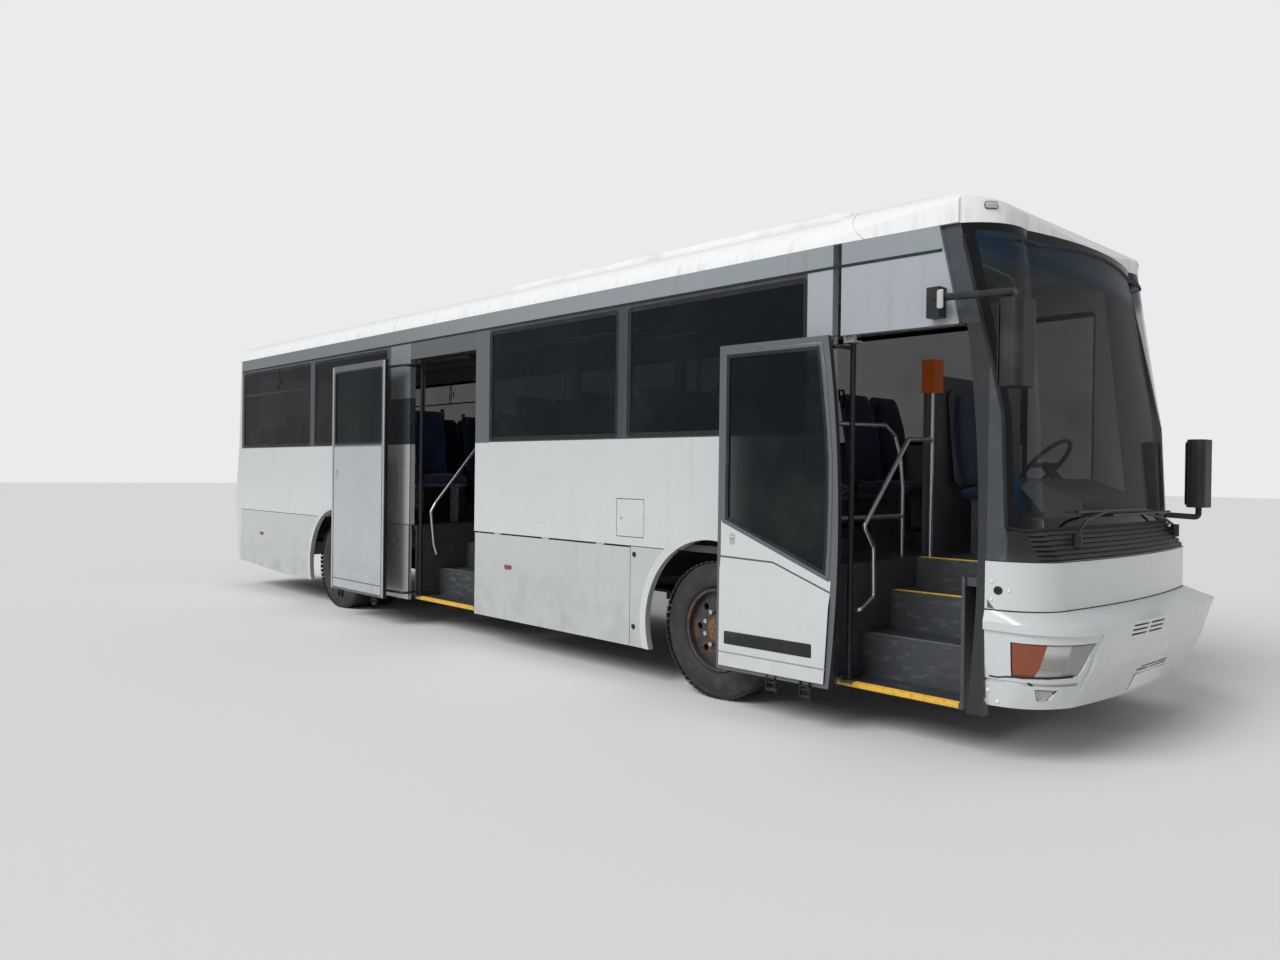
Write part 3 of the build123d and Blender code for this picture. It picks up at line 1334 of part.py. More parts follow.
def grab_rails():
    """Bent rails at both doorways. The front one carries the post of the pass reader."""
    x, s, foot, _ = PASS_BOX
    front = rod(FRONT_GRAB, GRAB_R, 25) + upright(x, s, 1805, foot, GRAB_R)
    screen = rod(SCREEN_GRAB, GRAB_R, 25)
    screen += rod([(-INNER_X + 1, 1640, 1290), (-290, 1640, 1290)], GRAB_R)
    return front, screen, rod(MID_GRAB, GRAB_R, 20)


def pass_box():
    x, s, foot, head = PASS_BOX
    return block(x - 55, x + 55, s - 50, s + 50, foot + SEAT_GAP, head)


def engine():
    gear_front, gear_rear = GEARBOX
    half = RAIL_X - SEAT_GAP
    return [
        block(-half, half, gear_rear + 10, ENGINE_REAR, 470, 1330),
        block(-half, half, gear_front, gear_rear, 450, RAIL_Z[1] - 20),
    ]


def tanks():
    tank = block(RAIL_X + 150, HALF_WIDTH - 90, 3420, 4700, 420, RAIL_Z[1])
    air = [Pos(RAIL_X + 330, y_at(7150), RAIL_Z[1] - 120 - SEAT_GAP) * Rot(90, 0, 0) * Cylinder(120, 700)]
    return [fillet(tank.edges().filter_by(Axis.Y), 60)] + air


def main():
    os.makedirs("parts", exist_ok=True)
    save("wall_left", left_wall())
    save("wall_right", right_wall())
    save("side_glass", panes(LEFT_WINDOWS, 1), panes(RIGHT_WINDOWS, -1), rear_pane())
    save("front_panel", front_panel())
    save("bumper", bumper())
    save("louvre", louvre())
    save("windscreen", windscreen())
    save("screen_frame", *screen_frame())
    save("front_dome", front_dome())
    save("roof", roof())
    save("rear_wall", rear_wall())
    save("engine_hatch", engine_hatch())
    save("skirts", skirts())
    save("arch_lips", arch_lips())
    save("luggage_flap", luggage_flap())
    save("fuel_flap", fuel_flap())
    save("floor", floor())
    save("ceiling", ceiling())
    save("chassis_frame", chassis_frame(), tanks())
    save("front_axle", front_axle())
    save("rear_axle", rear_axle())
    for side, name in ((1, "left"), (-1, "right")):
        tyre_solid, rim_solid = front_wheel(side)
        save(f"front_tyre_{name}", tyre_solid)
        save(f"front_rim_{name}", rim_solid)
        tyres, rims = rear_wheel(side)
        save(f"rear_tyres_{name}", tyres)
        save(f"rear_rims_{name}", rims)
        save(f"knuckle_{name}", knuckle(side))
    save("tie_rod", tie_rod())
    save("front_door_arm", door_arm(FRONT_POST_S, FRONT_SWING_R, FRONT_LEAF_SHIFT, FRONT_ARM_Z, 1300))
    save("mid_door_arm", door_arm(MID_POST_S, MID_SWING_R, MID_LEAF_SHIFT, MID_ARM_Z, 1345))
    leaf, glass = front_door()
    save("front_door_leaf", leaf)
    save("front_door_glass", glass)
    leaf, glass = mid_door()
    save("mid_door_leaf", leaf)
    save("mid_door_glass", glass)
    save("roof_pod", roof_pod())
    save("lamps", front_lamps(), rear_lamps())
    save("mirrors", *mirrors())
    save("wipers", wipers())
    save("dashboard", dashboard(), partition(), pass_box())
    frames, soft = saloon_seats()
    save("saloon_frames", frames)
    save("handrail_left", handrail(1))
    save("handrail_right", handrail(-1))
    save("grab_rails", grab_rails())
    save("seats", soft)
    save("engine", engine())
    print("front post", -PIVOT_X, y_at(FRONT_POST_S), "swing", FRONT_SWING, "radius", FRONT_SWING_R)
    print("mid post", -PIVOT_X, y_at(MID_POST_S), "swing", MID_SWING, "radius", MID_SWING_R)


if __name__ == "__main__":
    main()
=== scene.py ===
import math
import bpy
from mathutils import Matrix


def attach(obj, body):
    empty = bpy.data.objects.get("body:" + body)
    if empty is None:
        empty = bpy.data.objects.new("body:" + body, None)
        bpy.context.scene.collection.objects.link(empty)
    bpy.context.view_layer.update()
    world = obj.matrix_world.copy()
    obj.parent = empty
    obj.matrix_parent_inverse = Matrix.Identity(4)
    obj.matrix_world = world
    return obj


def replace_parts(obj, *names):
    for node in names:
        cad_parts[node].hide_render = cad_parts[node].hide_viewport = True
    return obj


bl_info = {
    "name": "City bus",
    "version": (1, 0, 0),
    "blender": (4, 5, 0),
    "location": "3D View > Sidebar > City bus",
    "description": "Dresses the packed city bus with paint, glass, trim, wheels, seats and a studio",
    "category": "Object",
}

import bmesh
import bpy
from mathutils import Matrix, Vector
from mathutils.bvhtree import BVHTree

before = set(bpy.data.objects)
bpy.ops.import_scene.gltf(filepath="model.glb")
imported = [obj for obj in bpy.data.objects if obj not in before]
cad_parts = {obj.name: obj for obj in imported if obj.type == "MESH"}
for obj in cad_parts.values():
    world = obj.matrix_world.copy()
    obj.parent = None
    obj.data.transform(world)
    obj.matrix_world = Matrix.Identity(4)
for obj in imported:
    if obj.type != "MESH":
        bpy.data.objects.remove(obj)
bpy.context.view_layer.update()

# Body measures in millimetres. A station is a distance behind the bumper's foremost line.
LENGTH = 11350
HALF_WIDTH = 1250
NOSE_HALF_WIDTH = 1205
TAPER_START = 560
TAPER_END = 1560
WAIST = 1818
GUTTER = 2836
FLOOR_TOP = 1010
WHEEL_R = 480
FRONT_LEAF_SHIFT = (170, 780)
MID_LEAF_X = HALF_WIDTH + 230

# Side windows: front station, rear station, foot, head
WINDOW_FOOT = WAIST + 12
WINDOW_HEAD = GUTTER - 30
WINDOW_CORNER = 40
RIGHT_WINDOWS = [
    (s0, s1, WINDOW_FOOT, WINDOW_HEAD) for s0, s1 in ((1750, 3412), (3513, 5225), (7075, 8795), (8895, 10930))
]
LEFT_WINDOWS = [
    (930, 1500, 1420, WINDOW_HEAD),
    *RIGHT_WINDOWS[:2],
    (5325, 6975, WINDOW_FOOT, WINDOW_HEAD),
    *RIGHT_WINDOWS[2:],
]


def mm(value):
    return value / 1000


def at(x, station, z):
    """A place on the bus, from millimetres, in the frame's metres."""
    return Vector((x / 1000, (station - LENGTH / 2) / 1000, z / 1000))


def half_width(station):
    share = (min(max(station, TAPER_START), TAPER_END) - TAPER_START) / (TAPER_END - TAPER_START)
    return NOSE_HALF_WIDTH + share * (HALF_WIDTH - NOSE_HALF_WIDTH)


# Shader and node maths


class Wire:
    """A node's output socket that takes part in sums."""

    def __init__(self, board, socket):
        self.board = board
        self.socket = socket

    def _math(self, operation, first, second):
        return self.board.node("ShaderNodeMath", {"operation": operation}, {0: first, 1: second})

    def __add__(self, other):
        return self._math("ADD", self, other)

    def __radd__(self, other):
        return self._math("ADD", other, self)

    def __mul__(self, other):
        return self._math("MULTIPLY", self, other)

    def __truediv__(self, other):
        return self._math("DIVIDE", self, other)

    def __abs__(self):
        return self._math("ABSOLUTE", self, 0.0)


class Board:
    """A node tree under construction."""

    def __init__(self, tree):
        self.tree = tree

    def node(self, kind, settings=None, sockets=None, out=0):
        """Adds a node, gives it its settings, then its sockets' values or links, and returns one output."""
        made = self.tree.nodes.new(kind)
        for name, value in (settings or {}).items():
            setattr(made, name, value)
        for key, value in (sockets or {}).items():
            self.feed(made.inputs[key], value)
        return Wire(self, made.outputs[out])

    def feed(self, socket, value):
        """Links a wire to a socket, or sets the socket's value."""
        if isinstance(value, Wire):
            self.tree.links.new(value.socket, socket)
        else:
            socket.default_value = value


def rgba(colour):
    return (colour[0], colour[1], colour[2], 1.0)


class Finish(Board):
    """A material on one Principled shader, with patterns that read Object coordinates."""

    def __init__(self, name, colour, roughness, **fixed):
        self.material = bpy.data.materials.new(name)
        self.material.use_nodes = True
        super().__init__(self.material.node_tree)
        self.tree.nodes.clear()
        self.shader = self.tree.nodes.new("ShaderNodeBsdfPrincipled")
        output = self.tree.nodes.new("ShaderNodeOutputMaterial")
        self.tree.links.new(self.shader.outputs["BSDF"], output.inputs["Surface"])
        self.material.diffuse_color = rgba(colour)
        self.put("Base Color", rgba(colour))
        self.put("Roughness", roughness)
        for label, value in fixed.items():
            self.put(label.replace("_", " ").title().replace("Ior", "IOR"), value)
        self.place = self.node("ShaderNodeTexCoord", out=3)

    def put(self, socket, value):
        self.feed(self.shader.inputs[socket], value)

    def axes(self):
        """The place's three coordinates, in metres."""
        split = self.tree.nodes.new("ShaderNodeSeparateXYZ")
        self.tree.links.new(self.place.socket, split.inputs[0])
        return [Wire(self, socket) for socket in split.outputs]

    def noise(self, scale, stretch=(1, 1, 1), detail=3.0):
        where = self.node("ShaderNodeMapping", {}, {"Vector": self.place, "Scale": stretch})
        sockets = {"Vector": where, "Scale": scale, "Detail": detail, "Roughness": 0.55}
        return self.node("ShaderNodeTexNoise", {}, sockets)

    def cells(self, scale):
        return self.node("ShaderNodeTexVoronoi", {}, {"Vector": self.place, "Scale": scale})

    def ramp(self, value, low, high, out_low=0.0, out_high=1.0):
        """A smooth step of a value between two levels."""
        sockets = {"Value": value, "From Min": low, "From Max": high, "To Min": out_low, "To Max": out_high}
        return self.node("ShaderNodeMapRange", {"interpolation_type": "SMOOTHSTEP"}, sockets)

    def patches(self, scale, low, high, detail=6.0, stretch=(1, 1, 1), most=1.0):
        """Soft-edged patches of noise."""
        return self.ramp(self.noise(scale, stretch, detail), low, high, 0.0, most)

    def within(self, value, low, high, soft=0.004):
        """1 where a value lies between two levels, and 0 outside them."""
        return self.ramp(value, low - soft, low) * self.ramp(value, high + soft, high)

    def mix(self, share, first, second):
        first, second = [rgba(c) if isinstance(c, tuple) else c for c in (first, second)]
        return self.node("ShaderNodeMix", {"data_type": "RGBA"}, {0: share, 6: first, 7: second}, out=2)

    def bump(self, height, distance):
        sockets = {"Height": height, "Distance": distance, "Strength": 1.0}
        self.put("Normal", self.node("ShaderNodeBump", {}, sockets))


# Finishes: MAKERS has a function for each, under its name, and MADE keeps the materials
MAKERS = {}
MADE = {}


def finish(make):
    """Files a function that makes a material under the function's name."""
    MAKERS[make.__name__] = make
    return make


def material(name):
    """The material of a finish, made when it is first asked for."""
    if name not in MADE:
        MADE[name] = worn(name, *WORN[name]) if name in WORN else MAKERS[name]()
    return MADE[name]


def tint(name):
    """One of the colour settings."""
    return tuple(getattr(bpy.context.scene.bus_colours, name))


def weathered(name, colour, grime, coat, low=0.35, share=1.0):
    """Silver paint with mottling, runs of dirt down it and dust near the ground, as its board and colour."""
    board = Finish(name, colour, 0.3, metallic=0.25, coat_weight=coat[0], coat_roughness=coat[1])
    _, _, z = board.axes()
    dust = board.ramp(z, 0.95, low, 0.0, 0.7) * board.patches(7.0, 0.3, 0.75)
    runs = board.patches(1.0, 0.58, 0.82, 4.0, (9.0, 9.0, 0.45), 0.22)
    dirt = runs + board.patches(2.3, 0.45, 0.8, 5.0, most=0.10) + dust * 0.45
    board.put("Roughness", 0.27 + dirt * (0.35 * share))
    return board, board.mix(dirt * share, colour, grime)


def panel_paint(*look, **levels):
    board, colour = weathered(*look, **levels)
    board.put("Base Color", colour)
    return board.material


@finish
def silver_paint():
    return panel_paint("silver_paint", tint("silver"), (0.30, 0.30, 0.28), (0.4, 0.1), share=0.5)


@finish
def skirt_paint():
    return panel_paint("skirt_paint", tint("skirt"), (0.24, 0.235, 0.22), (0.35, 0.15), low=0.3)


@finish
def leaf_silver():
    """The darker silver of the middle door's leaf."""
    return panel_paint("leaf_silver", (0.42, 0.455, 0.475), (0.20, 0.21, 0.21), (0.3, 0.15), share=0.8)


@finish
def side_paint():
    """The side walls: silver below the waist, a dark band round the windows and grey over the gutter,
    darkened towards the rear by painted shade.
    """
    board, silver = weathered("side_paint", tint("silver"), (0.40, 0.40, 0.38), (0.35, 0.12))
    x, y, z = board.axes()
    streaks = board.patches(1.2, 0.45, 0.8, 3.0, (7, 7, 0.4), 0.5)
    band = board.mix(streaks, tint("band"), (0.09, 0.105, 0.12))
    drips = board.patches(1.0, 0.55, 0.78, 5.0, (16, 16, 0.8))
    # Painted shade: the grey band over the gutter grows darker towards the rear
    unshaded_to_front = board.ramp(y, 4.5, -3.5)
    cantrail = board.mix(unshaded_to_front, (0.15, 0.17, 0.185), tint("cantrail"))
    upper = board.mix(drips * 0.45, cantrail, (0.20, 0.21, 0.22))
    pale = board.mix(drips * 0.35, tint("header"), (0.24, 0.25, 0.26))
    right = board.ramp(x, 0.0, -0.1)
    over_waist = board.ramp(z, mm(WAIST), mm(WAIST) + 0.004)
    over_gutter = board.ramp(z, mm(GUTTER) - 0.003, mm(GUTTER) + 0.003)
    colour = board.mix(over_waist, silver, band)
    # Panels round the doorways: colour, front and rear station, foot, head
    for shade, s0, s1, z0, z1 in (
        ((0.11, 0.12, 0.13), 5232, 5445, WAIST, GUTTER),
        ((0.10, 0.11, 0.12), 5445, 6610, 2668, GUTTER),
        ((0.20, 0.215, 0.23), 6610, 7000, 2285, GUTTER),
        (pale, 500, 1748, WAIST, GUTTER),
    ):
        along = board.within(y, at(0, s0, 0).y, at(0, s1, 0).y)
        colour = board.mix(along * board.within(z, mm(z0), mm(z1)) * right, colour, shade)
    board.put("Base Color", board.mix(over_gutter, colour, upper))
    return board.material


@finish
def rear_paint():
    """The rear: silver, with a dark band at the height of its window."""
    board, silver = weathered("rear_paint", tint("silver"), (0.36, 0.36, 0.34), (0.35, 0.12))
    x, _, z = board.axes()
    dark = board.within(z, 1.86, 2.90) * board.ramp(abs(x), 1.13, 1.12)
    board.put("Base Color", board.mix(dark, silver, tint("band")))
    return board.material


@finish
def roof_paint():
    """White paint with drips down its sides and dust on top."""
    board = Finish("roof_paint", tint("roof"), 0.35, coat_weight=0.3, coat_roughness=0.2)
    _, _, z = board.axes()
    drips = board.patches(1.0, 0.48, 0.75, 5.0, (14, 14, 1.1)) * board.ramp(z, 3.12, 3.0, 0.15, 1.0)
    dirt = drips * 0.38 + board.patches(3.0, 0.4, 0.8) * board.ramp(z, 3.15, 3.2) * 0.35
    board.put("Roughness", 0.32 + dirt * 0.4)
    board.put("Base Color", board.mix(dirt, tint("roof"), (0.42, 0.41, 0.38)))
    return board.material


@finish
def pillar_paint():
    """Dark paint round the windscreen, nearly black at the doorway's jamb."""
    board = Finish("pillar_paint", tint("pillar"), 0.35, metallic=0.2, coat_weight=0.25, coat_roughness=0.2)
    _, y, z = board.axes()
    jamb = board.ramp(y, at(0, 566, 0).y, at(0, 572, 0).y) * board.ramp(z, 2.42, 2.41)
    wear = board.patches(6.0, 0.5, 0.8, most=0.4)
    painted = board.mix(wear, tint("pillar"), (0.10, 0.11, 0.12))
    board.put("Base Color", board.mix(jamb, painted, (0.02, 0.021, 0.023)))
    board.put("Roughness", 0.34 + wear * 0.3)
    return board.material


def worn(name, colour, rubbed, share, rough, spots, grain=None, fixed=None):
    """One colour that is rubbed or dusty in patches, rougher there, over a fine or a soft grain."""
    board = Finish(name, colour, rough[0], **(fixed or {}))
    wear = board.patches(*spots)
    board.put("Base Color", board.mix(wear * share, colour, rubbed))
    if rough[1]:
        board.put("Roughness", rough[0] + wear * rough[1])
    if grain:
        kind, values, depth = grain
        board.bump(getattr(board, kind)(*values), depth)
    return board.material


def plastic(colour, rubbed, roughness, grain=None):
    """The look of moulded plastic or rubber. Its grain is in cells, or soft where no scale is given."""
    bumps = ("cells", (grain,), 0.0001) if grain else ("noise", (30.0,), 0.0005)
    return colour, rubbed, 0.3, (roughness, 0.15), (5.0, 0.45, 0.8), bumps, {"specular_ior_level": 0.3}


# Columns: colour, colour where rubbed and its share, roughness and its rise there, the patches' scale, their
# levels, detail and stretch, then the grain's kind, values and depth, and fixed values of the shader
WORN = {
    "black_plastic": plastic((0.017, 0.018, 0.02), (0.09, 0.09, 0.09), 0.42, 700.0),
    "rubber": plastic((0.012, 0.012, 0.013), (0.07, 0.07, 0.07), 0.6, 450.0),
    "grey_plastic": plastic((0.10, 0.105, 0.11), (0.16, 0.16, 0.16), 0.5, 600.0),
    "screen_grey": plastic((0.10, 0.105, 0.11), (0.18, 0.18, 0.18), 0.45),
    "lining": plastic((0.36, 0.37, 0.37), (0.28, 0.27, 0.26), 0.6),
    "orange_plastic": plastic((0.55, 0.11, 0.012), (0.35, 0.12, 0.04), 0.35, 500.0),
    "blue_plastic": plastic((0.03, 0.11, 0.30), (0.10, 0.14, 0.2), 0.4, 500.0),
    "white_plastic": plastic((0.74, 0.75, 0.74), (0.5, 0.49, 0.46), 0.45, 400.0),
    "tyre_rubber": (
        (0.018, 0.018, 0.019), (0.075, 0.07, 0.065), 0.5, (0.68, 0.2), (9.0, 0.45, 0.75),
        ("noise", (260.0, (1, 1, 1), 2.0), 0.0004),
    ),
    "frame_grey": (
        (0.12, 0.13, 0.145), (0.07, 0.075, 0.08), 0.4, (0.36, 0.25), (9.0, 0.5, 0.75, 7.0),
        None, {"metallic": 0.3},
    ),
    "aluminium": (
        (0.62, 0.63, 0.64), (0.33, 0.33, 0.33), 0.5, (0.3, 0.25), (14.0, 0.45, 0.8), None, {"metallic": 0.9}
    ),
    "black_steel": (
        (0.02, 0.02, 0.021), (0.2, 0.19, 0.18), 0.6, (0.38, 0.3), (50.0, 0.62, 0.72), None, {"metallic": 0.4}
    ),
    "step_sides": (
        (0.045, 0.05, 0.055), (0.14, 0.14, 0.135), 0.4, (0.45, 0.3), (9.0, 0.5, 0.75, 8.0, (1, 1, 3)),
        ("cells", (400.0,), 0.0002),
    ),
    "safety_yellow": (
        (0.72, 0.42, 0.03), (0.17, 0.13, 0.07), 0.6, (0.5, 0), (30.0, 0.5, 0.7, 8.0),
        ("cells", (300.0,), 0.0005),
    ),
}


@finish
def window_glass():
    """Tinted side glass with a little dust towards its foot."""
    shade = (0.006, 0.009, 0.011)
    board = Finish("window_glass", shade, 0.04, alpha=0.7, specular_ior_level=0.14)
    _, _, z = board.axes()
    dust = board.patches(2.0, 0.45, 0.8) * board.ramp(z, 2.3, 1.85, 0.3, 1.0)
    board.put("Base Color", board.mix(dust * 0.25, shade, (0.07, 0.07, 0.066)))
    board.put("Roughness", 0.03 + dust * 0.1)
    board.put("Alpha", 0.7 + dust * 0.1)
    return board.material


@finish
def screen_glass():
    """The windscreen: nearly clear, with a dark printed border and a blue-grey sun band."""
    shade = (0.012, 0.018, 0.022)
    board = Finish("screen_glass", shade, 0.03, alpha=0.3, specular_ior_level=0.2)
    x, _, z = board.axes()
    visor = board.ramp(z, 2.70, 2.80)
    border = board.ramp(z, 1.345, 1.335) + board.ramp(z, 2.93, 2.935) + board.ramp(abs(x), 1.150, 1.156)
    haze = board.patches(1.7, 0.45, 0.8, 5.0)
    tinted = board.mix(visor, shade, (0.012, 0.03, 0.055))
    board.put("Base Color", board.mix(border, tinted, (0.006, 0.006, 0.007)))
    board.put("Roughness", 0.025 + haze * 0.05)
    settings = {"operation": "ADD", "use_clamp": True}
    cover = board.node("ShaderNodeMath", settings, {0: visor * 0.35 + haze * 0.08, 1: border})
    board.put("Alpha", 0.26 + cover * 0.74)
    return board.material


@finish
def mirror_glass():
    """A mirror's silvered glass with a few specks."""
    board = Finish("mirror_glass", (0.82, 0.84, 0.85), 0.03, metallic=1.0)
    board.put("Roughness", 0.02 + board.patches(30.0, 0.55, 0.8, 5.0) * 0.12)
    return board.material


@finish
def wheel_steel():
    """Dark painted steel with rust and stone chips."""
    paint = (0.045, 0.045, 0.048)
    board = Finish("wheel_steel", paint, 0.5, metallic=0.3)
    rust = board.patches(12.0, 0.52, 0.62, 8.0)
    colour = board.mix(rust * 0.75, paint, (0.16, 0.07, 0.03))
    board.put("Base Color", board.mix(board.patches(60.0, 0.62, 0.7, 4.0) * 0.4, colour, (0.3, 0.29, 0.28)))
    board.put("Roughness", 0.45 + rust * 0.4)
    board.bump(rust, 0.0006)
    return board.material


@finish
def hub_rust():
    board = Finish("hub_rust", (0.16, 0.07, 0.035), 0.8)
    spots = board.noise(35.0, detail=8.0)
    share = board.ramp(spots, 0.35, 0.7)
    board.put("Base Color", board.mix(share, (0.20, 0.085, 0.035), (0.06, 0.04, 0.035)))
    board.bump(spots, 0.0015)
    return board.material


@finish
def chassis_black():
    """Black underbody paint under road dust, with rust here and there."""
    paint = (0.03, 0.03, 0.03)
    board = Finish("chassis_black", paint, 0.65, metallic=0.1)
    dust = board.patches(4.0, 0.4, 0.7, 8.0)
    rust = board.patches(15.0, 0.58, 0.68, 8.0)
    colour = board.mix(dust * 0.55, paint, (0.14, 0.125, 0.105))
    board.put("Base Color", board.mix(rust * 0.5, colour, (0.13, 0.055, 0.025)))
    board.put("Roughness", 0.55 + dust * 0.3)
    board.bump(rust + dust * 0.3, 0.001)
    return board.material


@finish
def cast_iron():
    board = Finish("cast_iron", (0.08, 0.075, 0.07), 0.7, metallic=0.5)
    rust = board.patches(9.0, 0.5, 0.66, 8.0)
    board.put("Base Color", board.mix(rust * 0.6, (0.08, 0.075, 0.07), (0.17, 0.08, 0.04)))
    board.bump(board.noise(120.0, detail=4.0), 0.0008)
    return board.material


@finish
def bare_steel():
    """Brushed steel with dull places."""
    board = Finish("bare_steel", (0.55, 0.56, 0.57), 0.3, metallic=1.0)
    brushed = board.noise(20.0, (30, 30, 0.6))
    dull = board.patches(8.0, 0.5, 0.8, 3.0, most=0.4)
    board.put("Roughness", board.ramp(brushed, 0.2, 0.8, 0.2, 0.42))
    board.put("Base Color", board.mix(dull, (0.58, 0.59, 0.6), (0.36, 0.36, 0.36)))
    return board.material


@finish
def floor_vinyl():
    """Flecked floor covering, worn and dusty where people walk."""
    board = Finish("floor_vinyl", (0.05, 0.056, 0.064), 0.6)
    grain = board.cells(260.0)
    scuffs = board.patches(7.0, 0.45, 0.75, 8.0, (1, 1, 4))
    colour = board.mix(board.ramp(grain, 0.12, 0.05) * 0.4, (0.032, 0.037, 0.044), (0.14, 0.15, 0.16))
    board.put("Base Color", board.mix(scuffs * 0.4, colour, (0.11, 0.107, 0.10)))
    board.put("Roughness", 0.5 + scuffs * 0.3)
    board.bump(grain, 0.0004)
    return board.material


@finish
def seat_fabric():
    """Short-pile seat cloth: dark blue with a small woven fleck."""
    board = Finish("seat_fabric", (0.02, 0.035, 0.10), 0.9, sheen_weight=0.5, sheen_roughness=0.4)
    fleck = board.ramp(board.cells(55.0), 0.22, 0.12)
    colour = board.mix(board.patches(3.0, 0.35, 0.7, 5.0), (0.016, 0.028, 0.085), (0.035, 0.055, 0.14))
    board.put("Base Color", board.mix(fleck * 0.6, colour, (0.20, 0.11, 0.05)))
    board.bump(board.cells(420.0), 0.0006)
    return board.material


def lens(name, shades, scale=40.0):
    """A ribbed lens between two shades."""
    board = Finish(name, shades[0], 0.1, coat_weight=0.6)
    sockets = {"Vector": board.place, "Scale": scale}
    ribbed = board.node("ShaderNodeTexWave", {"bands_direction": "Z"}, sockets)
    board.put("Base Color", board.mix(board.ramp(ribbed, 0.2, 0.9), *shades))
    board.bump(ribbed, 0.0006)
    return board


@finish
def amber_lens():
    return lens("amber_lens", ((0.17, 0.030, 0.004), (0.25, 0.052, 0.007))).material


@finish
def red_lens():
    return lens("red_lens", ((0.28, 0.006, 0.008), (0.40, 0.015, 0.016))).material


@finish
def clear_lens():
    """Headlamp glass with a painted reflection of the reflector behind it, and the recess beside it in a grey
    darkened by painted shade.
    """
    board = lens("clear_lens", ((0.30, 0.31, 0.30), (0.46, 0.46, 0.44)), 12.0)
    x, y, z = board.axes()
    recess = board.ramp(abs(x), 1.054, 1.050) * board.ramp(y, 0.0, -0.1) * board.ramp(z, 0.46, 0.47)
    # Painted reflection: bands near the lamp's top and foot are lightened to stand for the reflector's shine
    painted_reflection = board.ramp(z, 0.60, 0.66) * 0.55 + board.ramp(z, 0.56, 0.52) * 0.35
    glass = board.mix(painted_reflection, (0.22, 0.22, 0.21), (0.62, 0.62, 0.60))
    # Painted shade: the recess beside the lamp takes a grey far darker than the body's silver
    board.put("Base Color", board.mix(recess, glass, (0.24, 0.25, 0.245)))
    board.put("Roughness", 0.07 + recess * 0.35)
    return board.material


# Mesh tools


class Piece:
    """A mesh being built from simple solids."""

    def __init__(self):
        self.mesh = bmesh.new()

    def strips(self, loops):
        """Quads between rings of points, each to the next. Returns the rings' vertices."""
        made = [[self.mesh.verts.new(p) for p in loop] for loop in loops]
        for low, high in zip(made, made[1:]):
            self.join(low, high)
        return made

    def join(self, low, high):
        count = len(low)
        for i in range(count):
            self.mesh.faces.new((low[i], low[(i + 1) % count], high[(i + 1) % count], high[i]))

    def rings(self, loops):
        """A solid from rings of points, closed at the first and the last."""
        made = self.strips(loops)
        self.mesh.faces.new(list(reversed(made[0])))
        self.mesh.faces.new(made[-1])

    def box(self, low, high):
        (x0, y0, z0), (x1, y1, z1) = low, high
        self.prism([(x0, y0, z0), (x1, y0, z0), (x1, y1, z0), (x0, y1, z0)], (0, 0, z1 - z0))

    def prism(self, outline, along):
        """A flat outline drawn out along a vector."""
        along = Vector(along)
        self.rings([outline, [Vector(p) + along for p in outline]])

    def sweep(self, path, section):
        """A section of (aside, up) pairs drawn along a path."""
        loops = []
        for i, here in enumerate(path):
            before = path[max(i - 1, 0)]
            after = path[min(i + 1, len(path) - 1)]
            ahead = (after - before).normalized()
            aside = ahead.cross(Vector((0, 0, 1))).normalized()
            rise = aside.cross(ahead).normalized()
            loops.append([here + aside * a + rise * b for a, b in section])
        self.rings(loops)

    def lathe(self, profile, centre, way=(1, 0, 0), steps=48):
        """Turns a closed outline of (along, radius) points about a line through a centre."""
        way = Vector(way).normalized()
        aside = way.orthogonal().normalized()
        rise = way.cross(aside)
        loops = []
        for k in range(steps):
            angle = 2 * math.pi * k / steps
            out = aside * math.cos(angle) + rise * math.sin(angle)
            loops.append([Vector(centre) + way * along + out * radius for along, radius in profile])
        made = self.strips(loops)
        self.join(made[-1], made[0])

    def knob(self, centre, way, high, radius, steps=16):
        """A low round head that stands on a surface: a bolt, stud or lock."""
        sink = 0.002
        crown = high * 0.3
        profile = [(-sink, 0), (-sink, radius), (high - crown, radius), (high, radius - crown), (high, 0)]
        self.lathe(profile, centre, way, steps)

    def plate(self, outline, place, low, high):
        """A flat or bent plate between two heights over a surface that place(u, v, height) gives."""
        self.rings([[place(u, v, height) for u, v in outline] for height in (low, high)])

    def border(self, outer, inner, place, heights):
        """A closed border between two outlines. Heights: outer foot and edge, inner edge and foot."""
        outlines = (outer, outer, inner, inner, outer)
        self.strips([[place(u, v, h) for u, v in line] for line, h in zip(outlines, (*heights, heights[0]))])

    def done(self, name, body, finish_name, bevel=0.0, smooth=40, slot=None):
        """Closes seams, turns faces outward and puts the piece on its body."""
        bmesh.ops.remove_doubles(self.mesh, verts=self.mesh.verts, dist=1e-6)
        bmesh.ops.dissolve_degenerate(self.mesh, edges=self.mesh.edges, dist=1e-6)
        bmesh.ops.recalc_face_normals(self.mesh, faces=self.mesh.faces)
        if bevel:
            sharp = [e for e in self.mesh.edges if e.is_manifold and e.calc_face_angle(0) > 0.7]
            bmesh.ops.bevel(self.mesh, geom=sharp, offset=bevel, segments=2, affect="EDGES", profile=0.5)
        return finished(name, poured(self.mesh, name), body, finish_name, smooth)


def poured(mesh, name):
    """Turns a bmesh into a mesh of that name."""
    data = bpy.data.meshes.new(name)
    mesh.to_mesh(data)
    mesh.free()
    return data


def finished(name, data, body, finish_name, smooth=40):
    """Gives a mesh its name, its finish and its body."""
    data.name = name
    data.materials.clear()
    data.materials.append(material(finish_name))
    data.shade_smooth()
    data.set_sharp_from_angle(angle=math.radians(smooth))
    thing = bpy.data.objects.new(name, data)
    bpy.context.scene.collection.objects.link(thing)
    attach(thing, body)
    return thing


